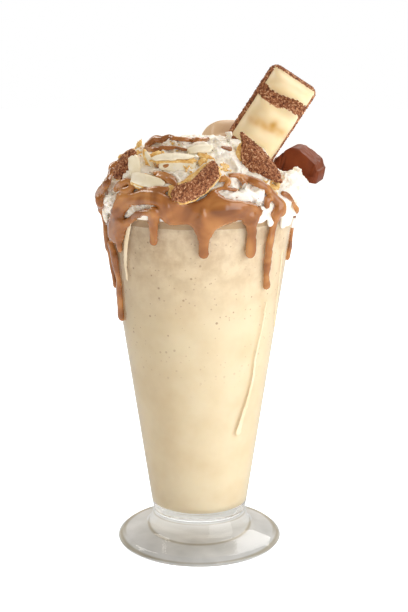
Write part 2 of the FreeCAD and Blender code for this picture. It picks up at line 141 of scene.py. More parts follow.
# The floor is bright to look at and to whatever it lights, and dimmer in the glass's first mirrorings.
floor_material, tree, shader = new_material("pale_floor")
shader.inputs["Base Color"].default_value = (0.80, 0.80, 0.80, 1)
shader.inputs["Roughness"].default_value = 0.85
shader.inputs["Emission Color"].default_value = (0.90, 0.95, 1.0, 1)
shader.inputs["Emission Strength"].default_value = 0.84
dim = glow(tree, "ShaderNodeEmission", (0.60, 0.60, 0.60, 1), 1.0)
paths = tree.nodes.new("ShaderNodeLightPath").outputs
looked_at = maths(tree, "MAXIMUM", paths["Is Camera Ray"], paths["Is Diffuse Ray"])
late = maths(tree, "GREATER_THAN", paths["Ray Depth"], FEW_TURNS)
bright = maths(tree, "MAXIMUM", late, looked_at)
shown = either_shader(tree, bright, dim, shader.outputs[0])
tree.links.new(shown, tree.nodes["Material Output"].inputs["Surface"])
floor_mesh = bpy.data.meshes.new("floor")
floor_mesh.from_pydata([(-3, -3, 0), (3, -3, 0), (3, 3, 0), (-3, 3, 0)], [], [(0, 1, 2, 3)])
floor_mesh.materials.append(floor_material)
floor = bpy.data.objects.new("floor", floor_mesh)
floor.location.z = -0.2 * MM
scene.collection.objects.link(floor)

# ---------------------------------------------------------------------------------------------------
# The glass: clear pressed soda glass, turned in one piece with a flat round foot, a short thick neck
# and a tall cup with a fire-rounded rim.  It is turned here from its outline by Geometry Nodes.
# ---------------------------------------------------------------------------------------------------
GLASS_HEIGHT = 172.0
RIM_RADIUS = 46.8
WALL = 2.4
CUP_BASE_RADIUS, CUP_BASE_HEIGHT = 24.3, 20.5
CUP_FLOOR_HEIGHT = 20.0
FOOT_RADIUS = 42.2
TURN_STEPS = 128


def srgb(red, green, blue):
    """A colour given as 0 to 255 display values, in the linear values that shaders take."""
    def linear(value):
        value /= 255.0
        return value / 12.92 if value <= 0.04045 else ((value + 0.055) / 1.055) ** 2.4
    return (linear(red), linear(green), linear(blue), 1.0)


def rounded(corners, radii, steps=7):
    """The corners as one line, with each corner that has a radius swapped for an arc of points."""
    line = []
    for i, (corner, radius) in enumerate(zip(corners, radii)):
        here = Vector(corner)
        if not radius or i in (0, len(corners) - 1):
            line.append(here)
            continue
        back, on = Vector(corners[i - 1]) - here, Vector(corners[i + 1]) - here
        half = back.angle(on) / 2
        reach = min(radius / math.tan(half), 0.49 * back.length, 0.49 * on.length)
        start, end = here + back.normalized() * reach, here + on.normalized() * reach
        for k in range(steps + 1):
            t = k / steps
            line.append((1 - t) ** 2 * start + 2 * t * (1 - t) * here + t ** 2 * end)
    return line


def turning_tree():
    """Geometry Nodes that turn a line of points, given as X across and Z up, about the Z axis."""
    tree = bpy.data.node_groups.new("turned_on_axis", "GeometryNodeTree")
    face = tree.interface
    face.new_socket("Geometry", in_out="INPUT", socket_type="NodeSocketGeometry")
    face.new_socket("Steps round", in_out="INPUT", socket_type="NodeSocketInt")
    face.new_socket("Finish", in_out="INPUT", socket_type="NodeSocketMaterial")
    face.new_socket("Geometry", in_out="OUTPUT", socket_type="NodeSocketGeometry")
    node, link = tree.nodes.new, tree.links.new
    given = node("NodeGroupInput")
    count = node("GeometryNodeAttributeDomainSize")
    link(given.outputs["Geometry"], count.inputs["Geometry"])
    grid = node("GeometryNodeMeshGrid")
    link(maths(tree, "ADD", given.outputs["Steps round"], 1), grid.inputs["Vertices X"])
    link(count.outputs["Point Count"], grid.inputs["Vertices Y"])
    index = node("GeometryNodeInputIndex")
    points = count.outputs["Point Count"]
    along = maths(tree, "FLOORED_MODULO", index.outputs[0], points)
    columns = maths(tree, "DIVIDE", maths(tree, "ADD", index.outputs[0], 0.5), points)
    round_step = maths(tree, "FLOOR", columns)
    share_round = maths(tree, "DIVIDE", round_step, given.outputs["Steps round"])
    angle = maths(tree, "MULTIPLY", share_round, 2 * math.pi)
    place = node("GeometryNodeInputPosition")
    sample = node("GeometryNodeSampleIndex")
    sample.data_type = "FLOAT_VECTOR"
    link(given.outputs["Geometry"], sample.inputs["Geometry"])
    link(place.outputs[0], sample.inputs["Value"])
    link(along, sample.inputs["Index"])
    parts = node("ShaderNodeSeparateXYZ")
    link(sample.outputs["Value"], parts.inputs[0])
    spot = node("ShaderNodeCombineXYZ")
    link(maths(tree, "MULTIPLY", parts.outputs["X"], maths(tree, "COSINE", angle)), spot.inputs["X"])
    link(maths(tree, "MULTIPLY", parts.outputs["X"], maths(tree, "SINE", angle)), spot.inputs["Y"])
    link(parts.outputs["Z"], spot.inputs["Z"])
    shift = node("GeometryNodeSetPosition")
    link(grid.outputs["Mesh"], shift.inputs["Geometry"])
    link(spot.outputs[0], shift.inputs["Position"])
    weld = node("GeometryNodeMergeByDistance")
    weld.inputs["Distance"].default_value = 1e-6
    link(shift.outputs[0], weld.inputs["Geometry"])
    smooth = node("GeometryNodeSetShadeSmooth")
    link(weld.outputs[0], smooth.inputs["Geometry"])
    real = node("GeometryNodeRealizeInstances")
    link(smooth.outputs[0], real.inputs[0])
    finish = node("GeometryNodeSetMaterial")
    link(real.outputs[0], finish.inputs["Geometry"])
    link(given.outputs["Finish"], finish.inputs["Material"])
    out = node("NodeGroupOutput")
    link(finish.outputs[0], out.inputs[0])
    return tree


def grown(name, carrier, tree, **values):
    """The mesh that a tree makes from a carrier object, as a plain piece.  The carrier is removed."""
    modifier = carrier.modifiers.new("grow", "NODES")
    modifier.node_group = tree
    for item in tree.interface.items_tree:
        key = item.name.lower().replace(" ", "_")
        if item.item_type == "SOCKET" and item.in_out == "INPUT" and key in values:
            modifier[item.identifier] = values[key]
    bpy.context.view_layer.update()
    seen = carrier.evaluated_get(bpy.context.evaluated_depsgraph_get())
    mesh = bpy.data.meshes.new_from_object(seen)
    mesh.name = name
    carrier.modifiers.remove(modifier)
    bpy.data.objects.remove(carrier)
    piece = bpy.data.objects.new(name, mesh)
    scene.collection.objects.link(piece)
    return piece


def outward(mesh):
    """Turns every face of a closed mesh outwards."""
    work = bmesh.new()
    work.from_mesh(mesh)
    bmesh.ops.recalc_face_normals(work, faces=work.faces)
    work.to_mesh(mesh)
    work.free()


TURNING = turning_tree()


def turned(name, line, material):
    """A piece turned about the glass's axis from a line of (radius, height) in millimetres."""
    mesh = bpy.data.meshes.new(name + "_line")
    mesh.from_pydata([(max(x, 0) * MM, 0, z * MM) for x, z in line],
                     [(i, i + 1) for i in range(len(line) - 1)], [])
    carrier = bpy.data.objects.new(name + "_line", mesh)
    scene.collection.objects.link(carrier)
    piece = grown(name, carrier, TURNING, steps_round=TURN_STEPS, finish=material)
    outward(piece.data)
    return piece


def noise_node(tree, scale, detail, roughness, coordinates):
    """Cloudy noise with so many clouds to the metre."""
    made = tree.nodes.new("ShaderNodeTexNoise")
    made.inputs["Scale"].default_value = scale
    made.inputs["Detail"].default_value = detail
    made.inputs["Roughness"].default_value = roughness
    tree.links.new(coordinates, made.inputs["Vector"])
    return made


def object_coordinates(tree):
    """The piece's own coordinates, in metres."""
    return tree.nodes.new("ShaderNodeTexCoord").outputs["Object"]


def ramp(tree, source, stops):
    """A colour ramp of (position, colour) stops driven by a value."""
    made = tree.nodes.new("ShaderNodeValToRGB")
    while len(made.color_ramp.elements) < len(stops):
        made.color_ramp.elements.new(0.5)
    for element, (position, colour) in zip(made.color_ramp.elements, stops):
        element.position, element.color = position, colour
    tree.links.new(source, made.inputs["Fac"])
    return made.outputs["Color"]


def bump(tree, shader, source, strength, distance):
    """Gives a shader fine relief of the source's height."""
    made = tree.nodes.new("ShaderNodeBump")
    made.inputs["Strength"].default_value = strength
    made.inputs["Distance"].default_value = distance
    tree.links.new(source, made.inputs["Height"])
    tree.links.new(made.outputs[0], shader.inputs["Normal"])


def blended(tree, share, under, over, blend="MIX"):
    """The over colour laid by a share on the under colour; each may be an output or a plain value."""
    made = tree.nodes.new("ShaderNodeMix")
    made.data_type = "RGBA"
    made.blend_type = blend
    for socket, value in ((made.inputs[0], share), (made.inputs[6], under), (made.inputs[7], over)):
        if isinstance(value, (int, float, tuple)):
            socket.default_value = value
        else:
            tree.links.new(value, socket)
    return made.outputs[2]


def parts_of(tree, vector):
    """The X, Y and Z of a vector."""
    made = tree.nodes.new("ShaderNodeSeparateXYZ")
    tree.links.new(vector, made.inputs[0])
    return made.outputs


def length_of(tree, vector):
    made = tree.nodes.new("ShaderNodeVectorMath")
    made.operation = "LENGTH"
    tree.links.new(vector, made.inputs[0])
    return made.outputs["Value"]


glass_material, tree, shader = new_material("clear_pressed_glass")
shader.inputs["Base Color"].default_value = (0.97, 0.985, 0.98, 1)
shader.inputs["Transmission Weight"].default_value = 1.0
shader.inputs["IOR"].default_value = 1.5
where = object_coordinates(tree)
smears = noise_node(tree, 45.0, 3.0, 0.5, where)
tree.links.new(ramp(tree, smears.outputs["Fac"], [(0.45, (0.0, 0.0, 0.0, 1)), (0.8, (0.05, 0.05, 0.05, 1))]),
               shader.inputs["Roughness"])
waves = noise_node(tree, 28.0, 1.0, 0.4, where)
bump(tree, shader, waves.outputs["Fac"], 0.12, 0.4 * MM)

# Light that has been through the glass many times goes straight on, and so does light on its way to
# what is in the glass.
paths = tree.nodes.new("ShaderNodeLightPath").outputs
MANY_TURNS = 5.5
worn_out = maths(tree, "GREATER_THAN", paths["Ray Depth"], MANY_TURNS)
straight_on = maths(tree, "MAXIMUM", worn_out, paths["Is Shadow Ray"])
clear = tree.nodes.new("ShaderNodeBsdfTransparent")
clear.inputs["Color"].default_value = (0.96, 0.97, 0.96, 1)
see_through = either_shader(tree, straight_on, shader.outputs[0], clear.outputs[0])

# The foot stands on a finely ground underside, which shows as a soft grey through the clear foot.
# Darker rings are painted in it under the neck's foot and inside the rounded edge: painted refraction of
# both.
ground = tree.nodes.new("ShaderNodeBsdfDiffuse")
frost = noise_node(tree, 70.0, 3.0, 0.5, where)
frosted = ramp(tree, frost.outputs["Fac"], [(0.3, srgb(202, 204, 207)), (0.7, srgb(226, 227, 230))])
share_out = maths(tree, "DIVIDE", length_of(tree, where), FOOT_RADIUS * MM)
painted_refraction_rings = ramp(tree, share_out, [
    (0.44, srgb(255, 255, 255)), (0.50, srgb(208, 200, 184)), (0.56, srgb(250, 250, 250)),
    (0.875, srgb(246, 246, 246)), (0.905, srgb(204, 197, 181)), (0.93, srgb(214, 208, 194)),
    (0.95, srgb(255, 255, 255)),
])
tree.links.new(blended(tree, 1.0, frosted, painted_refraction_rings, "MULTIPLY"), ground.inputs["Color"])
underside = maths(tree, "LESS_THAN", parts_of(tree, where)["Z"], 0.25 * MM)
footed = either_shader(tree, underside, see_through, ground.outputs[0])
tree.links.new(footed, tree.nodes["Material Output"].inputs["Surface"])

glass_corners = [
    (0, 0), (41.0, 0), (FOOT_RADIUS, 1.7), (39.2, 4.3), (26.5, 7.2), (23.3, 15.5),
    (CUP_BASE_RADIUS, CUP_BASE_HEIGHT), (RIM_RADIUS, GLASS_HEIGHT), (RIM_RADIUS - WALL, GLASS_HEIGHT),
    (CUP_BASE_RADIUS - WALL, CUP_FLOOR_HEIGHT), (0, CUP_FLOOR_HEIGHT),
]
corner_radii = [0, 0.9, 1.4, 3.0, 6.5, 5.0, 3.0, 1.15, 1.15, 6.0, 0]
glass = turned("soda_glass", rounded(glass_corners, corner_radii), glass_material)
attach(glass, "root")
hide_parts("glass")

# ---------------------------------------------------------------------------------------------------
# The drink: thick vanilla ice-cream milkshake, poured to just under the rim.  It wets the glass all
# round, so its skin reaches just into the wall, and it holds fine vanilla specks and small bubbles.
# ---------------------------------------------------------------------------------------------------
FILL_HEIGHT = 168.0
INTO_WALL = 0.12


def inner_radius(height):
    """The cup's inside radius at a height."""
    share = (height - CUP_FLOOR_HEIGHT) / (GLASS_HEIGHT - CUP_FLOOR_HEIGHT)
    return CUP_BASE_RADIUS - WALL + share * (RIM_RADIUS - CUP_BASE_RADIUS)


def speck_group():
    """Sparse dark specks of vanilla seed: a mask from cells of which only some hold a speck."""
    tree = bpy.data.node_groups.new("vanilla_specks", "ShaderNodeTree")
    face = tree.interface
    face.new_socket("Vector", in_out="INPUT", socket_type="NodeSocketVector")
    for name in ("Cells per metre", "Speck size", "Share filled"):
        face.new_socket(name, in_out="INPUT", socket_type="NodeSocketFloat")
    face.new_socket("Mask", in_out="OUTPUT", socket_type="NodeSocketFloat")
    given, out = tree.nodes.new("NodeGroupInput"), tree.nodes.new("NodeGroupOutput")
    cells = tree.nodes.new("ShaderNodeTexVoronoi")
    tree.links.new(given.outputs["Vector"], cells.inputs["Vector"])
    tree.links.new(given.outputs["Cells per metre"], cells.inputs["Scale"])
    split = tree.nodes.new("ShaderNodeSeparateColor")
    tree.links.new(cells.outputs["Color"], split.inputs[0])
    near = maths(tree, "LESS_THAN", cells.outputs["Distance"], given.outputs["Speck size"])
    filled = maths(tree, "LESS_THAN", split.outputs[0], given.outputs["Share filled"])
    tree.links.new(maths(tree, "MULTIPLY", near, filled), out.inputs["Mask"])
    return tree


SPECKS = speck_group()


def specked(tree, where, base, cells, size, share, colour):
    """The base colour with vanilla specks laid over it."""
    specks = tree.nodes.new("ShaderNodeGroup")
    specks.node_tree = SPECKS
    tree.links.new(where, specks.inputs["Vector"])
    for socket, value in zip(("Cells per metre", "Speck size", "Share filled"), (cells, size, share)):
        specks.inputs[socket].default_value = value
    return blended(tree, specks.outputs["Mask"], base, colour)


def between(tree, value, low, high):
    """0 at the low value, rising evenly to 1 at the high one."""
    made = tree.nodes.new("ShaderNodeMapRange")
    made.inputs["From Min"].default_value = low
    made.inputs["From Max"].default_value = high
    tree.links.new(value, made.inputs["Value"])
    return made.outputs[0]


def let_light_in(shader, weight, reach):
    """Lets a share of the light scatter under the surface, as far in red, green and blue (metres)."""
    shader.inputs["Subsurface Weight"].default_value = weight
    shader.inputs["Subsurface Radius"].default_value = reach
    shader.inputs["Subsurface Scale"].default_value = 1.0


shake_material, tree, shader = new_material("vanilla_milkshake")
where = object_coordinates(tree)
clouds = noise_node(tree, 55.0, 3.0, 0.55, where)
body = ramp(tree, clouds.outputs["Fac"], [(0.30, srgb(226, 206, 170)), (0.62, srgb(234, 218, 187))])
blots = noise_node(tree, 120.0, 4.0, 0.65, where)
froth_and_painted_shade = ramp(tree, blots.outputs["Fac"], [(0.36, srgb(204, 176, 140)), (0.60, srgb(236, 216, 186))])
# The drink is frothier and painted darker towards the top (painted shade under the cream); seeds float up
# there.
FROTH_AND_SHADE = (118.0, 170.0)
SEEDS = (80.0, 125.0)
height = parts_of(tree, where)["Z"]
froth_and_shade_share = between(tree, height, FROTH_AND_SHADE[0] * MM, FROTH_AND_SHADE[1] * MM)
layers = blended(tree, froth_and_shade_share, body, froth_and_painted_shade)
fine = specked(tree, where, layers, 430.0, 0.16, 0.46, srgb(204, 178, 146))
medium = specked(tree, where, fine, 260.0, 0.15, 0.34, srgb(194, 166, 134))
coarse = specked(tree, where, medium, 130.0, 0.08, 0.14, srgb(184, 156, 124))
floating = between(tree, height, SEEDS[0] * MM, SEEDS[1] * MM)
tree.links.new(blended(tree, floating, layers, coarse), shader.inputs["Base Color"])
shader.inputs["Roughness"].default_value = 0.42
let_light_in(shader, 0.25, (0.006, 0.0045, 0.003))
bubbles = noise_node(tree, 420.0, 2.0, 0.6, where)
bump(tree, shader, bubbles.outputs["Fac"], 0.25, 0.2 * MM)

shake_line = rounded(
    [
        (0, CUP_FLOOR_HEIGHT - INTO_WALL),
        (inner_radius(CUP_FLOOR_HEIGHT) + INTO_WALL, CUP_FLOOR_HEIGHT - INTO_WALL),
        (inner_radius(FILL_HEIGHT) + INTO_WALL, FILL_HEIGHT),
        (0, FILL_HEIGHT),
    ],
    [0, 6.0, 0.3, 0],
)
shake = turned("vanilla_shake", shake_line, shake_material)
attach(shake, "root")
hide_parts("milkshake")

# ---------------------------------------------------------------------------------------------------
# Whipped cream: sprayed and spooned over the drink in a ragged heap that fills the top of the cup and
# hangs a little over the rim.  Soft peaks, curls and torn folds stand out of it.
# ---------------------------------------------------------------------------------------------------
HEAP_SKIRT = (171.3, 46.6)
HEAP_BELLY = (178.0, 49.2)
HEAP_TOP = (206.0, 11.0)
HEAP_LEVELS = [(0.30, 0.05), (0.55, 0.20), (0.76, 0.42), (0.91, 0.68), (1.0, 1.0)]
LOBES = 9
LOBE_DEPTH = 1.8
LOBE_TWIST = math.radians(34.0)
HEAP_ROWS, HEAP_STEPS = 64, 180


def heap_outline():
    """(height, radius, lobe depth) of the heap's levels from skirt to top."""
    levels = []
    for share in (0.0, 0.45, 1.0):
        height = HEAP_SKIRT[0] + share * (HEAP_BELLY[0] - HEAP_SKIRT[0])
        levels.append((height, HEAP_SKIRT[1] + share * (HEAP_BELLY[1] - HEAP_SKIRT[1]), LOBE_DEPTH * share))
    for up, inward in HEAP_LEVELS:
        height = HEAP_BELLY[0] + up * (HEAP_TOP[0] - HEAP_BELLY[0])
        radius = HEAP_BELLY[1] + inward * (HEAP_TOP[1] - HEAP_BELLY[1])
        levels.append((height, radius, LOBE_DEPTH * (1 - 0.5 * up)))
    return levels


def heap_mesh():
    """Vertices and faces of the closed, smooth heap (millimetres)."""
    outline = heap_outline()
    heights = np.array([row[0] for row in outline])
    samples = np.linspace(0, len(outline) - 1, HEAP_ROWS)
    rows = np.arange(len(outline))
    level = np.interp(samples, rows, heights)
    reach = np.interp(samples, rows, [row[1] for row in outline])
    depth = np.interp(samples, rows, [row[2] for row in outline])
    kernel = np.array([1, 2, 3, 2, 1]) / 9.0
    for _ in range(3):
        reach[2:-2] = np.convolve(reach, kernel, "valid")
    turns = np.arange(HEAP_STEPS) * 2 * math.pi / HEAP_STEPS
    verts = []
    for z, r, d in zip(level, reach, depth):
        twist = LOBE_TWIST * (z - heights[0]) / (heights[-1] - heights[0])
        swell = d * np.cos(LOBES * (turns - twist)) + 0.4 * d * np.sin(3 * turns + 5 * twist)
        verts += [(x, y, z) for x, y in zip((r + swell) * np.cos(turns), (r + swell) * np.sin(turns))]
    n, m = HEAP_STEPS, HEAP_ROWS
    faces = [(j * n + i, j * n + (i + 1) % n, (j + 1) * n + (i + 1) % n, (j + 1) * n + i)
             for j in range(m - 1) for i in range(n)]
    verts += [(0, 0, level[0]), (0, 0, level[-1] + 0.8)]
    faces += [((i + 1) % n, i, m * n) for i in range(n)]
    faces += [((m - 1) * n + i, (m - 1) * n + (i + 1) % n, m * n + 1) for i in range(n)]
    return verts, faces


ball = bmesh.new()
bmesh.ops.create_icosphere(ball, subdivisions=2, radius=1.0)
BALL_VERTS = [v.co.copy() for v in ball.verts]
BALL_FACES = [tuple(v.index for v in f.verts) for f in ball.faces]
ball.free()


class Pile:
    """Closed shapes gathered in millimetres, to be fused into one skin."""

    def __init__(self):
        self.verts, self.faces = [], []

    def add(self, verts, faces):
        start = len(self.verts)
        self.verts += [tuple(v) for v in verts]
        self.faces += [tuple(start + i for i in face) for face in faces]

    def ball(self, centre, radii, turn=None):
        """An ellipsoid with the radii along its own axes."""
        turn = turn or Matrix.Identity(3)
        grown_verts = [Vector((v[0] * radii[0], v[1] * radii[1], v[2] * radii[2])) for v in BALL_VERTS]
        self.add([turn @ v + Vector(centre) for v in grown_verts], BALL_FACES)

    def fused(self, name, voxel, smoothing):
        """One closed skin round everything, on a grid of the voxel's size, then smoothed (millimetres)."""
        mesh = bpy.data.meshes.new(name)
        mesh.from_pydata(self.verts, [], self.faces)
        holder = bpy.data.objects.new(name, mesh)
        scene.collection.objects.link(holder)
        remesh = holder.modifiers.new("skin", "REMESH")
        remesh.mode, remesh.voxel_size, remesh.adaptivity = "VOXEL", voxel, 0.0
        soften = holder.modifiers.new("soften", "SMOOTH")
        soften.factor, soften.iterations = 0.5, smoothing
        bpy.context.view_layer.update()
        done = bpy.data.meshes.new_from_object(holder.evaluated_get(bpy.context.evaluated_depsgraph_get()))
        bpy.data.objects.remove(holder)
        return done


def coordinates_of(mesh):
    """The places of a mesh's vertices, one row each."""
    flat = np.empty(len(mesh.vertices) * 3)
    mesh.vertices.foreach_get("co", flat)
    return flat.reshape(-1, 3)


def normals_of(mesh):
    """The outward directions at a mesh's vertices, one row each."""
    flat = np.empty(len(mesh.vertices) * 3)
    mesh.vertices.foreach_get("normal", flat)
    return flat.reshape(-1, 3)


def into_piece(name, mesh, materials):
    """A finished piece from a mesh in millimetres, smooth shaded."""
    mesh.vertices.foreach_set("co", (coordinates_of(mesh) * MM).ravel())
    mesh.materials.clear()
    for material in materials:
        mesh.materials.append(material)
    mesh.polygons.foreach_set("use_smooth", [True] * len(mesh.polygons))
    mesh.name = name
    mesh.update()
    piece = bpy.data.objects.new(name, mesh)
    scene.collection.objects.link(piece)
    return piece


smooth_heap = heap_mesh()
heap_skin = BVHTree.FromPolygons([Vector(v) for v in smooth_heap[0]], smooth_heap[1])
eye = CAMERA_SPOT / MM
# The search for a place past the outline: how far in front of the axis it starts, its steps and their
# number.  And a distance from the axis that is outside everything.
SEARCH_START, SEARCH_STEP, SEARCH_STEPS = 60, 0.75, 160
OUTSIDE = 90


def on_cup(spot):
    """The nearest place on the outside of the cup at the same height, and its outward direction."""
    rise = (RIM_RADIUS - CUP_BASE_RADIUS) / (GLASS_HEIGHT - CUP_BASE_HEIGHT)
    way = Vector((spot.x, spot.y, 0)).normalized()
    radius = RIM_RADIUS - rise * (GLASS_HEIGHT - spot.z)
    return Vector((way.x * radius, way.y * radius, spot.z)), Vector((way.x, way.y, -rise)).normalized()


def from_front(x, z, skin=None):
    """Where the sight line through (x, 0, z) first meets the heap or the outside of the cup, and the
    outward direction there; past the outline it is the nearest place on it.  Millimetres."""
    skin = skin or heap_skin
    way = (Vector((x, 0, z)) - eye).normalized()
    found = skin.ray_cast(eye, way)
    if found[0] is not None and found[0].z > HEAP_SKIRT[0] + 0.2:
        return found[0], found[1]
    start = eye + way * ((-eye.y - SEARCH_START) / way.y)
    best = None
    for step in range(SEARCH_STEPS):
        spot = start + way * SEARCH_STEP * step
        place = on_cup(spot)[0] if spot.z < GLASS_HEIGHT - 0.5 else skin.find_nearest(spot)[0]
        gap = (spot - place).length
        within = math.hypot(spot.x, spot.y) < math.hypot(place.x, place.y)
        if best is None or gap < best[0] or within:
            best = (gap, spot)
        if within:
            break
    if best[1].z < GLASS_HEIGHT - 0.5:
        return on_cup(best[1])
    place, normal, *_ = skin.find_nearest(best[1])
    return place, normal


def lying_on(normal, heading):
    """A turn that lays a shape's Z along a surface's normal, with its X at a heading in the surface."""
    up = normal.normalized()
    side = Vector((math.cos(heading), 0, math.sin(heading)))
    across = (side - up * side.dot(up)).normalized()
    return Matrix((across, up.cross(across), up)).transposed()


# Peaks and curls seen from the front: x, z, half length, half width, half thickness, heading in
# degrees and how far the middle stands above the heap (millimetres).
FRONT_CURLS = [
    (11.5, 199.5, 6.0, 2.4, 2.6, 66, 1.2), (14.0, 204.0, 3.6, 1.6, 2.0, 80, 2.6),
    (8.5, 203.0, 3.0, 1.5, 1.8, 110, 1.8),
    (18.0, 193.0, 6.0, 2.6, 2.2, -50, 0.6), (43.5, 186.0, 7.5, 4.6, 4.0, 6, 1.6),
    (49.5, 180.5, 5.5, 4.4, 3.6, -50, 0.2),
    (46.5, 173.0, 6.0, 5.4, 3.4, 80, 0.0), (43.5, 167.0, 5.0, 3.0, 2.2, 85, 0.4),
    (29.5, 177.5, 8.0, 3.4, 1.8, -14, 0.3),
    (24.5, 180.5, 6.0, 2.0, 1.6, -18, 0.5), (30.0, 169.5, 4.0, 2.8, 2.0, 30, 0.6),
    (-10.0, 203.0, 8.0, 2.2, 1.8, -8, 0.8),
    (-2.0, 201.0, 8.0, 2.0, 1.6, 6, 0.6), (-21.0, 203.0, 4.0, 2.0, 1.8, 30, 0.6),
    (-44.0, 176.5, 5.5, 2.8, 2.0, 70, 0.4),
    (-45.5, 168.5, 5.0, 2.6, 1.8, 80, 0.3), (-17.0, 190.0, 6.0, 2.0, 1.4, -6, 0.2),
    (3.0, 184.5, 5.0, 2.0, 1.4, 10, 0.2),
    (8.5, 192.5, 5.0, 2.2, 1.6, -35, 0.4), (-6.0, 195.5, 7.0, 2.0, 1.4, 0, 0.3),
    (30.5, 167.0, 4.5, 3.0, 1.7, 12, 0.3),
    (36.0, 166.0, 4.5, 3.6, 1.7, 30, 0.3), (41.5, 165.5, 4.5, 3.6, 1.7, 60, 0.3),
    (46.0, 164.5, 4.0, 3.0, 1.7, 80, 0.3),
    (-46.0, 164.0, 4.0, 2.6, 1.5, 80, 0.2), (-47.5, 169.0, 4.0, 2.6, 1.5, 80, 0.2),
]
# Dollops round the sides and back: azimuth in degrees, share of the way up, half length and width.
BACK_DOLLOPS = [
    (8, 0.10, 11, 8), (24, 0.35, 12, 9), (48, 0.12, 12, 8), (60, 0.55, 12, 9), (82, 0.25, 12, 9),
    (96, 0.62, 12, 9),
    (112, 0.10, 12, 8), (132, 0.42, 11, 8), (40, 0.80, 10, 7), (146, 0.05, 8, 6),
]

pile = Pile()
pile.add(*smooth_heap)

# A round plug joins the heap to the drink and reaches just into the glass below the rim.
plug_steps = 96
plug_verts = []
for height in (FILL_HEIGHT - 1.0, GLASS_HEIGHT + 0.6):
    radius = inner_radius(height) + INTO_WALL
    angles = [2 * math.pi * i / plug_steps for i in range(plug_steps)]
    plug_verts += [(math.cos(a) * radius, math.sin(a) * radius, height) for a in angles]
plug_faces = [tuple(reversed(range(plug_steps))), tuple(range(plug_steps, 2 * plug_steps))]
for i in range(plug_steps):
    on = (i + 1) % plug_steps
    plug_faces.append((i, on, plug_steps + on, plug_steps + i))
pile.add(plug_verts, plug_faces)

for x, z, half_long, half_wide, half_thick, heading, lift in FRONT_CURLS:
    spot, normal = from_front(x, z)
    pile.ball(spot + normal * lift, (half_long, half_wide, half_thick),
              lying_on(normal, math.radians(heading)))
BALLS_PER_DOLLOP = 3
dice = random.Random(11)
for azimuth, up, half_long, half_wide in BACK_DOLLOPS:
    height = HEAP_BELLY[0] + up * (HEAP_TOP[0] - HEAP_BELLY[0])
    way = Vector((math.cos(math.radians(azimuth)), math.sin(math.radians(azimuth)), 0))
    spot, normal, *_ = heap_skin.ray_cast(way * OUTSIDE + Vector((0, 0, height)), -way)
    for _ in range(BALLS_PER_DOLLOP):
        aside = Vector([dice.uniform(-4.0, 4.0) for _ in range(3)])
        size = [k * dice.uniform(0.6, 0.8) for k in (half_long, half_wide, 6.0)]
        pile.ball(spot + aside - normal * 3.0, size, lying_on(normal, dice.uniform(0, math.pi)))
cream_mesh = pile.fused("whipped_cream_skin", 0.58, 4)

# Where the pool of sauce lies on the cream and presses it smooth, and the gap in it where cream shows,
# seen from the front as (x, z).
POOL = [
    (-39.8, 178.1), (-35.5, 179.2), (-30, 177.9), (-27.5, 179.2), (-22.6, 179.4), (-17.7, 178.6),
    (-14.7, 176.6),
    (-11.6, 175.3), (-7.9, 174.2), (-3.6, 174.1), (0.4, 175), (3.2, 176.5), (4.9, 178.5), (6.6, 180.3),
    (8.1, 179.5),
    (9.6, 177.5), (12.7, 175.8), (16.4, 175), (20.1, 175), (25, 174.4), (27.8, 173.3), (30.6, 171.3),
    (32.1, 169.4),
    (31.5, 167.8), (29.4, 167.2), (28.2, 164), (22.2, 163.5), (21.4, 165.6), (18.9, 166), (15.2, 164.3),
    (10.9, 163.2),
    (8.2, 162), (6.4, 159.8), (4.8, 156.7), (2.2, 154.5), (-0.2, 156.2), (-1.2, 159.2), (-2.5, 161.7),
    (-4.2, 163.4),
    (-8, 163.8), (-11.7, 163.6), (-14.7, 163.9), (-16.8, 165), (-18.3, 167), (-19.6, 169.0), (-19.6, 164.4),
    (-24.3, 163.4), (-24.6, 168.6), (-27.6, 168.9), (-30.7, 166.4), (-33.8, 163.9), (-35.6, 160.8),
    (-37, 157),
    (-38.3, 153.9), (-41.1, 153.6), (-43.8, 156.7), (-44.4, 161.1), (-43.8, 165.4), (-42.7, 169.2),
    (-41.4, 173.5),
]
GAP = [
    (-33.4, 172.9), (-28.8, 173.5), (-23.9, 173.4), (-20.2, 172.9), (-18.6, 171.4), (-20.8, 170.9),
    (-25.1, 171.1),
    (-28.2, 169.8), (-31.9, 167.3), (-35.7, 165.9), (-37.2, 167), (-35.6, 169.8),
]


def inside(x, z, outline):
    """Whether (x, z) lies inside a closed outline."""
    crossed = False
    for (xa, za), (xb, zb) in zip(outline, outline[1:] + outline[:1]):
        if (za > z) != (zb > z) and x < xa + (z - za) / (zb - za) * (xb - xa):
            crossed = not crossed
    return crossed


def edge_distance(x, z, outline):
    """How far (x, z) is from a closed outline."""
    nearest = 1e9
    for (xa, za), (xb, zb) in zip(outline, outline[1:] + outline[:1]):
        long2 = (xb - xa) ** 2 + (zb - za) ** 2
        t = min(1.0, max(0.0, ((x - xa) * (xb - xa) + (z - za) * (zb - za)) / long2))
        nearest = min(nearest, math.hypot(x - xa - t * (xb - xa), z - za - t * (zb - za)))
    return nearest


# Hollows pressed into the cream by what lies on it, seen from the front: x, z, half sizes and depth.
BEDS = [
    (24.0, 191.0, 5.5, 10.0, 3.6), (39.0, 194.5, 6.0, 5.5, 4.0), (-43.0, 186.0, 5.0, 9.0, 3.2),
    (-37.0, 198.0, 6.0, 6.0, 2.0), (0.0, 186.0, 9.0, 4.0, 1.0),
]


# The cream is free to stand up in folds this far above the rim, and the sauce presses it in so deep.
FREE_ABOVE = 4.0
PRESSED = 0.9
# Folds: height, seed and size (millimetres).
FOLDS_OF_CREAM = [(0.80, 1.0, 9.0), (0.50, 5.0, 4.2), (0.22, 9.0, 2.0)]

# The pattern is seeded, so that every run tears the cream alike.
noise.seed_set(11)


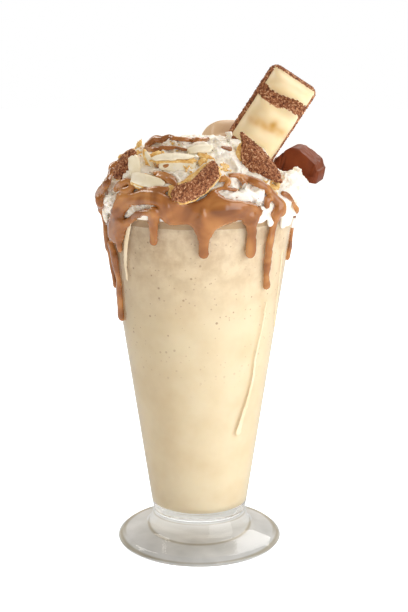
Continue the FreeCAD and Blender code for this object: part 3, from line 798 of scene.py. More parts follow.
def torn(point, seed, size):
    """Ragged folds with sharp crests: a ridged pattern bent by a slower one, from about -1 to 1."""
    slow = noise.noise_vector(point / (size * 2.2) + Vector((seed, 3.1, 7.7)))
    bent = point / size + slow * 1.6
    return 1.0 - 3.2 * abs(noise.noise(bent)) ** 0.8


places, directions = coordinates_of(cream_mesh), normals_of(cream_mesh)
shifts = np.zeros(len(places))
for i, (x, y, z) in enumerate(places):
    radius = math.hypot(x, y)
    if z < GLASS_HEIGHT + 0.8 and radius < RIM_RADIUS + 0.4:
        continue
    here = Vector((x, y, z * 1.35))
    free = min(1.0, max(0.0, (z - GLASS_HEIGHT) / FREE_ABOVE))
    share = eye.y / (eye.y - y)
    front_x, front_z = eye.x + (x - eye.x) * share, eye.z + (z - eye.z) * share
    if y < 25:
        shifts[i] = -sum(deep * math.exp(-((front_x - bx) / wide) ** 4 - ((front_z - bz) / high) ** 4)
                         for bx, bz, wide, high, deep in BEDS)
    if y < -15 and z < 185 and inside(front_x, front_z, POOL) and not inside(front_x, front_z, GAP):
        room = min(edge_distance(front_x, front_z, POOL), edge_distance(front_x, front_z, GAP))
        deep = min(1.0, room / 2.0)
        free *= 1 - deep
        shifts[i] -= PRESSED * deep
    shifts[i] += free * (sum(high * torn(here, seed, size) for high, seed, size in FOLDS_OF_CREAM) - 0.45)
places = places + directions * shifts[:, None]
cream_mesh.vertices.foreach_set("co", places.ravel())
cream_mesh.update()

cream_material, tree, shader = new_material("whipped_cream")
where = object_coordinates(tree)
tone = noise_node(tree, 90.0, 3.0, 0.5, where)
milk = ramp(tree, tone.outputs["Fac"], [(0.30, srgb(252, 246, 232)), (0.65, srgb(255, 253, 246))])
# Cream that lies inside the cup, just under the rim, is stained by the drink and painted darker still, as
# painted shade under the rim.
STAIN_AND_SHADE_TOP, STAIN_AND_SHADE_FULL = 172.6, 171.2
place = parts_of(tree, where)
flat = tree.nodes.new("ShaderNodeCombineXYZ")
for axis in ("X", "Y"):
    tree.links.new(place[axis], flat.inputs[axis])
from_axis = length_of(tree, flat.outputs[0])
within_cup = maths(tree, "LESS_THAN", from_axis, (RIM_RADIUS - 0.6 * WALL) * MM)
under_rim = between(tree, place["Z"], STAIN_AND_SHADE_TOP * MM, STAIN_AND_SHADE_FULL * MM)
in_cup = maths(tree, "MULTIPLY", under_rim, within_cup)
seeded = specked(tree, where, milk, 120.0, 0.05, 0.16, srgb(120, 90, 60))
stained_and_shaded = blended(tree, in_cup, seeded, srgb(196, 164, 124))
tree.links.new(stained_and_shaded, shader.inputs["Base Color"])
shader.inputs["Roughness"].default_value = 0.48
let_light_in(shader, 0.2, (0.002, 0.0016, 0.0012))
pores = noise_node(tree, 900.0, 3.0, 0.6, where)
bump(tree, shader, pores.outputs["Fac"], 0.35, 0.25 * MM)

cream_skin = BVHTree.FromPolygons([Vector(v) for v in places],
                                  [tuple(p.vertices) for p in cream_mesh.polygons])
cream = into_piece("whipped_cream_heap", cream_mesh, [cream_material])
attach(cream, "root")
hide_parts("whipped_cream")

# ---------------------------------------------------------------------------------------------------
# Hazelnut sauce: warm chocolate and hazelnut spread poured over the cream.  It lies thick and glossy
# over the front, runs over the rim in a wavy edge and hangs down the glass in round-ended drips.
# ---------------------------------------------------------------------------------------------------
# Runs of sauce seen from the front, as (x, z, half width), each from its thick end to its free end.
# First the drips and the thick left edge, which hang over the rim, then thick folds on the pool and
# the ribbons over the cream.
HANGING_RUNS = [
    [(-42.1, 189.5, 1.6), (-44.3, 183.4, 2.1), (-48.1, 177.8, 2.5), (-50.3, 172.9, 2.5), (-51.1, 168.5, 2.2),
     (-50.6, 164.2, 2.2), (-49, 160.4, 2.4), (-46.9, 156.1, 2.7), (-44.8, 152.3, 2.7)],
    [(-46.3, 156.4, 1.8), (-45.1, 150.4, 1.7), (-43.8, 144.4, 1.6), (-43.1, 138.3, 1.6), (-42.7, 133.2, 1.9)],
    [(-42.6, 152.9, 2.5), (-41.2, 147.4, 2.5), (-40.3, 141.3, 2.3), (-39.4, 135.3, 2.1), (-39, 129.1, 2.1),
     (-38.6, 122.4, 2.3), (-38.2, 117.2, 2.6)],
    [(-21.8, 169.8, 2.9), (-22.1, 165.4, 2.4), (-22.2, 160.4, 2), (-22.2, 156.7, 1.9), (-22.2, 155.2, 2.1)],
    [(2.4, 164.4, 5.5), (2.4, 160.4, 3.8), (2.2, 155.4, 2.3), (2.1, 151.0, 2.1), (2.1, 148.7, 2.3)],
    [(24.7, 167.9, 3.2), (25.2, 162.9, 2.8), (25.4, 157.9, 2.6), (25.2, 152.5, 2.7), (24.8, 149.2, 2.7)],
    [(38.6, 171.5, 2.8), (37.3, 169.2, 2.5), (36.2, 164.2, 2.2), (35, 159.2, 2.1), (34.1, 154.2, 2.2),
     (33.6, 148.8, 2.1), (33.3, 143.4, 1.8), (33, 137.6, 1.7), (32.8, 132.9, 2.2)],
    [(46.8, 161, 1.4), (46.6, 158.9, 1.5), (45.9, 155.0, 1.8), (45.5, 150.6, 2.0), (45.3, 147.3, 2.2)],
]
FOLDS = [
    [(-33.5, 177.0, 1.0), (-30, 177.6, 1.5), (-25, 178.2, 1.6), (-20, 177.4, 1.5), (-17, 175.6, 1.3),
     (-15.6, 172, 1.5),
     (-14.8, 168.5, 1.6), (-13, 166, 1.4)],
    [(18.5, 172.6, 1.0), (22.5, 172.9, 1.5), (26, 171.8, 1.6), (28.5, 169.8, 1.3)],
    [(-41, 170, 1.2), (-39.5, 174, 1.5), (-37, 176.8, 1.4)],
    [(2.2, 172, 1.0), (2.2, 168, 1.8), (2.3, 164, 2.2), (2.2, 160, 1.8)],
    [(-40.6, 166, 1.5), (-40.6, 162, 1.9), (-39.8, 158, 2.0), (-39, 154.5, 1.8), (-38.7, 152.2, 1.5),
     (-38.6, 151, 1.3)],
    [(-31.4, 167.6, 1.1), (-28.6, 169.4, 1.2), (-25.4, 170.0, 1.3), (-22.4, 169.4, 1.5)],
]
RIBBONS = [
    [(14.5, 187, 1), (18.2, 187.3, 1.4), (21.9, 186.1, 1.5), (25.5, 184.6, 1.6), (29.2, 182.7, 1.8),
     (32.3, 180.6, 1.9),
     (34.8, 177.8, 1.9), (37.3, 175.3, 2), (39.6, 172.9, 2.5), (38.8, 169.8, 2.8)],
    [(21.9, 182.1, 1.1), (20.6, 184.6, 1.1), (18.8, 186.4, 0.9)],
    [(40.3, 178.7, 1), (42.8, 177.8, 1.2), (44.9, 175.3, 1.1), (46.8, 172.3, 1.1), (48.3, 169.2, 1),
     (47.8, 166, 1),
     (47, 162.9, 1), (47.2, 160.1, 1.1)],
    [(33.9, 179.3, 0.9), (33.6, 176.6, 1.2), (33.9, 174.9, 1.5)],
    [(6.9, 180, 0.8), (10.9, 180.8, 0.8), (14.5, 180.3, 0.7), (18.2, 180, 0.8)],
    [(10.2, 184.6, 1.4), (12.7, 185.8, 1.7), (14.5, 183.4, 1.3), (12.7, 181.5, 0.9)],
    [(-24.9, 201.7, 1.5), (-21.8, 204.4, 1.7), (-18.1, 205.6, 1.8), (-15.1, 206.2, 1.6), (-12.7, 205, 1.5),
     (-9, 204.6, 1.2), (-5.4, 204.4, 1.2), (-1.7, 203.8, 1.4), (1.3, 204.2, 1.4), (4.3, 204.8, 1.2)],
    [(-25.5, 199.9, 1.6), (-22.4, 199.3, 1.3), (-17.6, 200.2, 1.2), (-12.7, 200.6, 1.1), (-7.8, 200.2, 1),
     (-4.2, 199.3, 0.9)],
    [(-20.1, 191.9, 1), (-16.4, 191.3, 1.1), (-12.7, 192.5, 0.9), (-10.3, 193.3, 0.8)],
    [(-21.6, 188.9, 1.1), (-17.6, 188.3, 1.2), (-14, 187, 1.2), (-11.5, 185.2, 1)],
    [(-29.9, 182.1, 1.4), (-26.9, 180.9, 1.9), (-22.6, 180.2, 2), (-18.3, 180.3, 1.7), (-14.8, 180.9, 1.4)],
    [(-40.4, 179.7, 1.6), (-37.9, 182.7, 1.9), (-35.4, 184.6, 1.6), (-33, 184, 1.4), (-31.8, 181.5, 1.4),
     (-34.2, 180.3, 1.6), (-37.3, 179.7, 1.3)],
    [(-31.5, 202.5, 1.6), (-35.8, 200.5, 1.8), (-38.9, 197.4, 1.8), (-40.5, 193.8, 1.8), (-42.1, 189.5, 1.7)],
    [(15.1, 199.9, 1.2), (12.6, 200.8, 1), (10.5, 201.4, 0.8)],
    [(-40.9, 194.6, 2.0), (-41.5, 191.6, 2.3), (-41.2, 188.4, 1.8)],
    [(-20.5, 186.6, 1.2), (-16.5, 185.4, 1.6), (-13.2, 183.6, 1.6), (-11.0, 181.6, 1.2)],
    [(32.4, 176.8, 1.0), (32.9, 174.6, 1.5), (33.0, 172.8, 1.6), (33.1, 171.2, 1.2)],
]
# Ribbons and drips round the back: (azimuth in degrees, height, half width).
BACK_RUNS = [
    [(166, 189, 2.6), (150, 184, 2.8), (140, 178, 2.8), (136, 171, 2.6), (135, 163, 2.2), (135, 155, 2.3)],
    [(40, 200, 1.6), (60, 194, 1.9), (84, 191, 2.0), (108, 191, 2.0), (128, 191, 2.2), (150, 190, 2.2),
     (166, 189, 2.4)],
    [(96, 191, 2.0), (98, 184, 2.4), (100, 177, 2.6), (101, 170, 2.4), (101, 161, 2.1), (101, 152, 2.3)],
    [(64, 194, 1.6), (58, 186, 1.9), (54, 178, 2.1), (53, 171, 2.0), (53, 165, 2.1)],
    [(22, 178, 1.5), (34, 176, 1.7), (46, 176, 1.7), (54, 178, 1.9)],
    [(160, 178, 2.6), (168, 174, 3.0), (174, 169, 2.6), (176, 163, 2.2), (176, 158, 2.3)],
]


def smooth_run(stations, gap):
    """Evenly close stations along a smooth line through the given ones (Catmull-Rom)."""
    rows = [np.array(row, float) for row in [stations[0]] + list(stations) + [stations[-1]]]
    line = []
    for a, b, c, d in zip(rows, rows[1:], rows[2:], rows[3:]):
        steps = max(2, int(np.linalg.norm((c - b)[:2]) / gap))
        for k in range(steps):
            t = k / steps
            line.append(0.5 * ((2 * b) + (c - a) * t + (2 * a - 5 * b + 4 * c - d) * t * t
                               + (3 * b - a - 3 * c + d) * t ** 3))
    line.append(rows[-1])
    return line


def from_side(azimuth, height):
    """A place and direction on the cream or the cup's outside, given round the axis."""
    angle = math.radians(azimuth)
    way = Vector((math.cos(angle), math.sin(angle), 0))
    if height > HEAP_SKIRT[0] + 0.5:
        return cream_skin.ray_cast(way * OUTSIDE + Vector((0, 0, height)), -way)[:2]
    return on_cup(way + Vector((0, 0, height)))


def lying_flat(normal):
    """A turn that lays a shape's Z along a surface's normal, at any heading."""
    up = normal.normalized()
    side = up.orthogonal().normalized()
    return Matrix((side, up.cross(side), up)).transposed()


def bead(pile, spot, normal, half_width):
    """One bead of a run: a ball flattened on the surface, so that a run of beads is a half-round cord."""
    on_glass = spot.z < GLASS_HEIGHT - 1.0
    high = min(half_width, 2.6) * (0.62 if on_glass else 0.85)
    pile.ball(spot + normal.normalized() * high * 0.45, (half_width, half_width, high), lying_flat(normal))


def evened(laid):
    """Places and directions along a run, evened out as thick sauce bridges small hollows."""
    for _ in range(6):
        before, after = laid[:1] + laid, laid[1:] + laid[-1:]
        laid = [tuple((a[k] + b[k] * 2 + c[k]) / 4 for k in (0, 1)) for a, b, c in zip(before, laid, after)]
    return laid


sauce_pile = Pile()
POOL_STEP = 0.75
for x in np.arange(-45, 34, POOL_STEP):
    for z in np.arange(153, 181, POOL_STEP):
        if not inside(x, z, POOL) or inside(x, z, GAP):
            continue
        room = min(edge_distance(x, z, POOL), edge_distance(x, z, GAP))
        if room > 0.3:
            spot, normal = from_front(x, z)
            reach = min(max(room, 1.0), 2.0)
            lip = 0.3 + 0.35 * math.exp(-((room - 1.4) / 0.8) ** 2)
            sauce_pile.ball(spot + normal * lip, (reach,) * 3)
for run in HANGING_RUNS:
    for x, z, half_width in smooth_run(run, 0.7):
        bead(sauce_pile, *from_front(x, z), half_width)
for run in FOLDS:
    for x, z, half_width in smooth_run(run, 0.6):
        spot, normal = from_front(x, z)
        bead(sauce_pile, spot + normal * (1.1 if spot.z > HEAP_SKIRT[0] else 0.3), normal, half_width)
for run in RIBBONS:
    line = smooth_run(run, 0.6)
    laid = evened([from_front(x, z, cream_skin) for x, z, _ in line])
    for (spot, normal), (_, _, half_width) in zip(laid, line):
        bead(sauce_pile, spot + normal.normalized() * 0.35, normal, half_width)
for run in BACK_RUNS:
    line = smooth_run(run, 0.5)
    laid = evened([from_side(azimuth, height) for azimuth, height, _ in line])
    for (spot, normal), (_, _, half_width) in zip(laid, line):
        bead(sauce_pile, spot, normal, half_width)
sauce_mesh = sauce_pile.fused("sauce_skin", 0.48, 5)
places, directions = coordinates_of(sauce_mesh), normals_of(sauce_mesh)
swell = np.array([0.25 + noise.noise(Vector(p) / 8.0) * 0.55 + noise.noise(Vector(p) / 3.5) * 0.10
                  for p in places])
sauce_mesh.vertices.foreach_set("co", (places + directions * swell[:, None]).ravel())
sauce_mesh.update()

sauce_material, tree, shader = new_material("hazelnut_sauce")
where = object_coordinates(tree)
swirl = noise_node(tree, 48.0, 2.0, 0.4, where)
swirl.inputs["Distortion"].default_value = 1.6
browns = [(0.34, srgb(134, 78, 32)), (0.50, srgb(168, 106, 50)), (0.68, srgb(200, 140, 76))]
tree.links.new(ramp(tree, swirl.outputs["Fac"], browns), shader.inputs["Base Color"])
shader.inputs["Roughness"].default_value = 0.24
shader.inputs["Coat Weight"].default_value = 0.9
shader.inputs["Coat Roughness"].default_value = 0.07
let_light_in(shader, 0.15, (0.002, 0.001, 0.0006))
ripple = noise_node(tree, 240.0, 2.0, 0.5, where)
bump(tree, shader, ripple.outputs["Fac"], 0.10, 0.3 * MM)
sauce = into_piece("hazelnut_sauce_pour", sauce_mesh, [sauce_material])
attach(sauce, "root")
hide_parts("hazelnut_sauce")

# ---------------------------------------------------------------------------------------------------
# Wafer bars: crisp wafer with a milk and hazelnut filling, coated in chocolate, with smooth domes and
# cocoa crumbs between them and round the base.  Each is moulded and pushed into the cream by hand.
# ---------------------------------------------------------------------------------------------------
BAR_WIDTH, BAR_BASE, BAR_LEDGE, BAR_HEIGHT = 26.0, 3.2, 1.2, 14.5


def lay(heading, tilt, spin):
    """A turn made of a heading about Z, a tilt about X and a spin about the piece's own Z (degrees)."""
    return (Matrix.Rotation(math.radians(heading), 3, "Z") @ Matrix.Rotation(math.radians(tilt), 3, "X")
            @ Matrix.Rotation(math.radians(spin), 3, "Z"))


def bar_height(x, y, length, valleys, softness):
    """Height of the coating over the bar's flat back at (x, y): a long pillow with valleys across it."""
    share = min(1.0, abs(x) / (BAR_WIDTH / 2 - BAR_LEDGE))
    rise = (1 - share ** softness) ** (1.6 / softness)
    for valley, floor in [(0.0, 0.28), (length, 0.28)] + list(valleys):
        away = max(0.0, abs(y - valley) - 1.1) / 3.6
        lifted = floor + (1 - floor) * (1 - math.exp(-1.1 * away ** 1.5))
        rise = min(rise, lifted) if softness > 5 else rise * lifted
    return BAR_BASE + (BAR_HEIGHT - BAR_BASE) * rise


def bar_mesh(name, length, valleys=(), softness=3.0, step=0.6, corner=3.8):
    """A bar with its flat back on z = 0 and its length along +Y, with rounded corners: a fine grid over
    the coating, and walls down to the back.  Gives the mesh in millimetres."""
    across = np.linspace(-BAR_WIDTH / 2, BAR_WIDTH / 2, int(BAR_WIDTH / step) + 1)
    along = np.linspace(0, length, int(length / step) + 1)
    n, m = len(across), len(along)

    def drawn_in(x, y):
        """The grid's corners drawn in to an arc."""
        dx = abs(x) - (BAR_WIDTH / 2 - corner)
        dy = corner - min(y, length - y)
        if dx > 0 and dy > 0:
            scale = max(dx, dy) / math.hypot(dx, dy)
            x = math.copysign(BAR_WIDTH / 2 - corner + dx * scale, x)
            y = corner - dy * scale if y < corner else length - corner + dy * scale
        return x, y

    verts, faces = [], []
    for is_top in (False, True):
        for y in along:
            for x in across:
                px, py = drawn_in(x, y)
                on_edge = abs(x) > BAR_WIDTH / 2 - 0.01 or min(y, length - y) < 0.01
                high = BAR_BASE * 0.85 if on_edge else bar_height(px, py, length, valleys, softness)
                verts.append((px, py, high if is_top else 0.0))
    rim = [(i, 0) for i in range(n)] + [(n - 1, j) for j in range(1, m)]
    rim += [(i, m - 1) for i in range(n - 2, -1, -1)] + [(0, j) for j in range(m - 2, 0, -1)]
    for j in range(m - 1):
        for i in range(n - 1):
            back = j * n + i
            top = back + n * m
            faces.append((back, back + n, back + n + 1, back + 1))
            faces.append((top, top + 1, top + n + 1, top + n))
    for (i, j), (k, l) in zip(rim, rim[1:] + rim[:1]):
        low, on = j * n + i, l * n + k
        faces.append((low, on, on + n * m, low + n * m))
    mesh = bpy.data.meshes.new(name)
    mesh.from_pydata(verts, [], faces)
    return mesh


def set_in_box(mesh, turn, node, whole=None):
    """Turns a mesh in millimetres and moves it so that its box, or that of the whole piece it is broken
    from, shares its middle with a CAD node's."""
    places = coordinates_of(mesh) @ np.array(turn).T
    whole = places if whole is None else np.array([tuple(v) for v in whole]) @ np.array(turn).T
    low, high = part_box(node)
    middle = (np.array(low) + np.array(high)) / 2 / MM
    places += middle - (whole.min(0) + whole.max(0)) / 2
    mesh.vertices.foreach_set("co", places.ravel())
    mesh.update()


white_coat, tree, shader = new_material("white_chocolate_coating")
where = object_coordinates(tree)
milky = noise_node(tree, 60.0, 3.0, 0.5, where)
creamy = ramp(tree, milky.outputs["Fac"], [(0.3, srgb(240, 220, 176)), (0.7, srgb(248, 232, 196))])
# The shallow dip is painted tan: painted shade in the dip, with the wafer's colour showing through the thin
# coating there.
dip_shade_share = tree.nodes.new("ShaderNodeAttribute")
dip_shade_share.attribute_name = "dip_shade_and_tint"
dip_shaded = blended(tree, dip_shade_share.outputs["Fac"], creamy, srgb(214, 168, 88))
tree.links.new(dip_shaded, shader.inputs["Base Color"])
shader.inputs["Roughness"].default_value = 0.38
let_light_in(shader, 0.25, (0.003, 0.002, 0.001))
satin = noise_node(tree, 300.0, 3.0, 0.6, where)
bump(tree, shader, satin.outputs["Fac"], 0.12, 0.3 * MM)

crumb_coat, tree, shader = new_material("cocoa_crumb_coating")
where = object_coordinates(tree)
grains = noise_node(tree, 900.0, 3.0, 0.7, where)
crumb_browns = [(0.36, srgb(116, 64, 38)), (0.52, srgb(166, 104, 66)), (0.68, srgb(208, 156, 114))]
tree.links.new(ramp(tree, grains.outputs["Fac"], crumb_browns), shader.inputs["Base Color"])
shader.inputs["Roughness"].default_value = 0.75
bump(tree, shader, grains.outputs["Fac"], 0.8, 0.6 * MM)

# The tall bar: two valleys filled with crumbs, one of them out of sight in the cream, a shallow
# dip between them, and a border of crumbs that is wider on the left.
TALL_LENGTH = 68.0
BAND, DIP, HIDDEN_BAND = 13.5, 27.5, 43.5
tall_mesh = bar_mesh("tall_bar", TALL_LENGTH, [(BAND, 0.30), (DIP, 0.80), (HIDDEN_BAND, 0.30)])
rest = coordinates_of(tall_mesh)
crumby = []
for face in tall_mesh.polygons:
    x, y, z = np.mean([rest[i] for i in face.vertices], axis=0)
    ragged = 0.9 * noise.noise(Vector((x, y, 0)) * 0.45) + 0.5 * noise.noise(Vector((x, y, 5)) * 1.3)
    in_band = min(abs(y - BAND - 1.3 * math.sin(x / 4.0)), abs(y - HIDDEN_BAND)) < 3.0 + 0.6 * ragged
    on_border = x < -BAR_WIDTH / 2 + 1.0 + 0.2 * ragged or x > BAR_WIDTH / 2 - 1.1 or y < 1.3 + 0.4 * ragged
    crumby.append(1 if in_band or on_border or z < BAR_BASE * 0.8 else 0)
# Painted shade in the shallow dip, with the wafer's warm colour through the thin coating: a tan share per
# vertex.
dip_shade_and_tint = tall_mesh.attributes.new("dip_shade_and_tint", "FLOAT", "POINT")
dip_shade_and_tint.data.foreach_set("value", [
    (0.85 * math.exp(-((y - DIP - 0.12 * x) / 2.6) ** 2) * math.exp(-(x / 10.5) ** 4)
     + 0.6 * math.exp(-((y - DIP + 3.0) / 2.4) ** 2) * math.exp(-((x + 1.0) / 1.6) ** 2))
    * (0.9 + 0.4 * noise.noise(Vector((x, y, 9)) * 0.35)) for x, y, z in rest
])
tall_turn = (Matrix.Rotation(math.radians(33), 3, "Y") @ Matrix.Rotation(math.radians(-90), 3, "X")
             @ Matrix.Rotation(math.radians(172), 3, "Y"))
set_in_box(tall_mesh, tall_turn, "wafer_bar")
tall_bar = into_piece("tall_wafer_bar", tall_mesh, [white_coat, crumb_coat])
tall_bar.data.polygons.foreach_set("material_index", crumby)
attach(tall_bar, "root")
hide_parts("wafer_bar")

# The rear bar's coating is beige and painted darker than the white coating, as painted shade where it lies
# behind the cream.
shaded_rear_coat, tree, shader = new_material("milky_beige_coating")
where = object_coordinates(tree)
milky = noise_node(tree, 70.0, 3.0, 0.5, where)
tree.links.new(ramp(tree, milky.outputs["Fac"], [(0.3, srgb(222, 190, 154)), (0.7, srgb(232, 204, 170))]),
               shader.inputs["Base Color"])
shader.inputs["Roughness"].default_value = 0.42
satin = noise_node(tree, 260.0, 3.0, 0.6, where)
bump(tree, shader, satin.outputs["Fac"], 0.12, 0.3 * MM)

rear_mesh = bar_mesh("rear_bar", 27.0)
set_in_box(rear_mesh, lay(18, -12, 0), "rear_bar")
rear_bar = into_piece("rear_wafer_bar", rear_mesh, [shaded_rear_coat])
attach(rear_bar, "root")
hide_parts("rear_bar")

milk_coat, tree, shader = new_material("milk_chocolate_coating")
where = object_coordinates(tree)
cocoa = noise_node(tree, 80.0, 4.0, 0.55, where)
painted_groove_shade = tree.nodes.new("ShaderNodeAttribute")
painted_groove_shade.attribute_name = "groove"
chocolate = ramp(tree, cocoa.outputs["Fac"], [(0.3, srgb(104, 46, 22)), (0.7, srgb(130, 64, 34))])
groove_shaded = blended(tree, painted_groove_shade.outputs["Fac"], chocolate, srgb(52, 24, 14))
tree.links.new(groove_shaded, shader.inputs["Base Color"])
shader.inputs["Roughness"].default_value = 0.5
shader.inputs["Specular IOR Level"].default_value = 0.15
scuffs = noise_node(tree, 500.0, 4.0, 0.65, where)
bump(tree, shader, scuffs.outputs["Fac"], 0.20, 0.3 * MM)

# The end of the milk-chocolate bar is snapped off on a slope and scored by two grooves, painted dark brown as
# painted shade in them.
milk_mesh = bar_mesh("milk_bar", 24.0, softness=7.0, step=0.4)
milk_rest = coordinates_of(milk_mesh)
milk_turn = lay(75, 15, 0)
set_in_box(milk_mesh, milk_turn, "milk_chocolate_bar")
along, high = milk_rest[:, 1], milk_rest[:, 2]
groove = np.exp(-((along - 17.4 - 0.24 * high) / 0.42) ** 2)
groove += np.exp(-((along - 21.6 - 0.18 * high) / 0.42) ** 2) * (high > 6)
snapped = 7.5 + 0.52 * along + np.array([1.1 * noise.noise(Vector(v) * 0.22) for v in milk_rest])
sunk = np.maximum(0.0, high - snapped) + 0.6 * groove * (high > 2.0)
places = coordinates_of(milk_mesh) - sunk[:, None] * np.array(milk_turn @ Vector((0, 0, 1)))
milk_mesh.vertices.foreach_set("co", places.ravel())
milk_mesh.attributes.new("groove", "FLOAT", "POINT").data.foreach_set("value", groove * 0.8)
milk_bar = into_piece("milk_chocolate_bar_end", milk_mesh, [milk_coat])
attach(milk_bar, "root")
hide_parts("milk_chocolate_bar")

# ---------------------------------------------------------------------------------------------------
# Broken shells: pieces of the same bars, snapped and dropped on the cream.  Two are crumb-coated with
# pale wafer at the broken edge, one is crumb-coated at the far left, and two are plain white shell.
# ---------------------------------------------------------------------------------------------------
wafer_material, tree, shader = new_material("baked_wafer")
where = object_coordinates(tree)
bake = noise_node(tree, 500.0, 4.0, 0.6, where)
golds = [(0.3, srgb(208, 150, 74)), (0.5, srgb(238, 198, 122)), (0.72, srgb(252, 232, 182))]
tree.links.new(ramp(tree, bake.outputs["Fac"], golds), shader.inputs["Base Color"])
shader.inputs["Roughness"].default_value = 0.7
bump(tree, shader, bake.outputs["Fac"], 0.6, 0.5 * MM)

ivory, tree, shader = new_material("ivory_filling")
where = object_coordinates(tree)
milky = noise_node(tree, 140.0, 3.0, 0.5, where)
tree.links.new(ramp(tree, milky.outputs["Fac"], [(0.3, srgb(236, 228, 200)), (0.7, srgb(250, 246, 230))]),
               shader.inputs["Base Color"])
shader.inputs["Roughness"].default_value = 0.4
satin = noise_node(tree, 420.0, 3.0, 0.6, where)
bump(tree, shader, satin.outputs["Fac"], 0.15, 0.3 * MM)


def reach_of(corners, a):
    """How far a closed outline lies from its middle in the direction a."""
    way, reach = (math.cos(a), math.sin(a)), 0.2
    for (xa, ya), (xb, yb) in zip(corners, corners[1:] + corners[:1]):
        across = way[0] * (yb - ya) - way[1] * (xb - xa)
        if abs(across) > 1e-9:
            far, along = (xa * (yb - ya) - ya * (xb - xa)) / across, (xa * way[1] - ya * way[0]) / across
            if far > 0 and -1e-6 <= along <= 1 + 1e-6:
                reach = max(reach, far)
    return reach


def flake(half_long, half_wide, arch, thickness, low, seed, ragged, corners, steps=72, painted_refraction_rings=9):
    """A closed curved plate with a ragged outline, arched over z = low, as vertices and faces.  Its
    outline is either corners in shares of the half sizes, or a power: 2 is an oval, 4 nearly square."""
    dice = random.Random(seed)
    phases = [dice.uniform(0, 6.28) for _ in range(4)]
    verts, faces = [], []
    for side in (1, 0):
        for ring in range(painted_refraction_rings + 1):
            rho = ring / painted_refraction_rings
            for k in range(steps):
                a = 2 * math.pi * k / steps
                edge = 1 + ragged * (0.5 * math.sin(3 * a + phases[0]) + 0.35 * math.sin(5 * a + phases[1])
                                     + 0.4 * math.sin(11 * a + phases[2])
                                     + 0.3 * math.sin(17 * a + phases[3]))
                if isinstance(corners, list):
                    reach = reach_of(corners, a)
                else:
                    reach = (abs(math.cos(a)) ** corners + abs(math.sin(a)) ** corners) ** (-1 / corners)
                x = half_long * rho * edge * reach * math.cos(a)
                y = half_wide * rho * edge * reach * math.sin(a)
                dome = arch * (1 - min(1.0, (x / half_long) ** 2 * 0.55 + (y / half_wide) ** 2 * 0.85))
                verts.append((x, y, low + dome + thickness * side * (1 - 0.25 * rho ** 6)))
    per_side = (painted_refraction_rings + 1) * steps
    for side in (0, 1):
        for ring in range(painted_refraction_rings):
            for k in range(steps):
                a, b = side * per_side + ring * steps + k, side * per_side + ring * steps + (k + 1) % steps
                quad = (a, b, b + steps, a + steps)
                faces.append(quad[::-1] if side == 0 else quad)
    for k in range(steps):
        a, b = painted_refraction_rings * steps + k, painted_refraction_rings * steps + (k + 1) % steps
        faces.append((a, b, per_side + b, per_side + a))
    return verts, faces


def shell_piece(name, node, turn, layers):
    """A broken shell of several curved layers, each a flake's shape and a material (0 crumb coating,
    1 wafer, 2 ivory), set in the CAD node's box."""
    verts, faces, marks, whole = [], [], [], []
    for *shape, mark in layers:
        more_verts, more_faces = flake(*shape)
        whole += flake(*shape[:-1], 2)[0]
        start = len(verts)
        verts += more_verts
        faces += [tuple(start + i for i in face) for face in more_faces]
        marks += [mark] * len(more_faces)
    mesh = bpy.data.meshes.new(name)
    mesh.from_pydata(verts, [], faces)
    work = bmesh.new()
    work.from_mesh(mesh)
    tag = work.faces.layers.int.new("mark")
    for face, mark in zip(work.faces, marks):
        face[tag] = mark
    bmesh.ops.remove_doubles(work, verts=work.verts, dist=0.0005)
    bmesh.ops.recalc_face_normals(work, faces=work.faces)
    marks = [face[tag] for face in work.faces]
    work.to_mesh(mesh)
    work.free()
    set_in_box(mesh, turn, node, whole)
    places, directions = coordinates_of(mesh), normals_of(mesh)
    rough = np.array([0.16 * noise.noise(Vector(p) * 1.1) + 0.08 * noise.noise(Vector(p) * 3.0)
                      for p in places])
    mesh.vertices.foreach_set("co", (places + directions * rough[:, None]).ravel())
    piece = into_piece(name, mesh, [crumb_coat, wafer_material, ivory])
    piece.data.polygons.foreach_set("material_index", marks)
    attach(piece, "root")
    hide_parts(node)
    return piece


# Outlines in shares of the half sizes: the front shell's bean and its wafer, the right shell's leaf,
# and the three layers of the pale shell.
FRONT_BEAN = [
    (1.2, 1.35), (1.16, 0.5), (0.96, -0.2), (0.3, -0.74), (-0.3, -0.84), (-0.78, -0.62), (-1.06, -0.1),
    (-0.98, 0.42), (-0.68, 0.66), (-0.1, 0.4), (0.5, 0.85),
]
FRONT_WAFER = [
    (1.22, 1.5), (1.22, 0.45), (1.02, -0.28), (0.3, -0.82), (-0.34, -0.9), (-0.84, -0.64), (-1.12, -0.1),
    (-1.04, 0.42), (-0.9, 1.1), (-0.25, 0.95), (0.4, 1.25),
]
RIGHT_LEAF = [
    (-1.14, 0.46), (-0.8, 0.58), (-0.35, 0.84), (0.23, 1), (0.71, 1), (1, 0.6), (0.88, 0.2), (0.5, -0.45),
    (0.12, -1), (-0.2, -0.97), (-0.5, -0.6), (-0.85, 0.0),
]
PALE_DOME = [(-1, 0.25), (-0.55, 0.95), (0.3, 1.1), (0.95, 0.55), (0.7, 0.05), (-0.2, -0.15), (-0.7, -0.1)]
PALE_WAFER = [(-1, 0.2), (-0.4, 0.9), (0.5, 0.9), (1.0, 0.2), (0.9, -0.25), (0, -0.3), (-0.7, -0.25)]
PALE_BASE = [(-0.6, 0.3), (0.6, 0.6), (1.06, -0.1), (0.9, -0.9), (0.1, -0.95), (-0.6, -0.6)]
shell_front = shell_piece("shell_front_crumb", "shell_front", lay(4, 60, 28), [
    (11.8, 6.0, 2.4, 2.4, 1.3, 3, 0.03, FRONT_BEAN, 0),
    (11.8, 6.0, 2.0, 1.0, 0.5, 4, 0.06, FRONT_WAFER, 1),
    (11.4, 5.8, 1.8, 1.0, -0.4, 5, 0.05, FRONT_WAFER, 2),
])
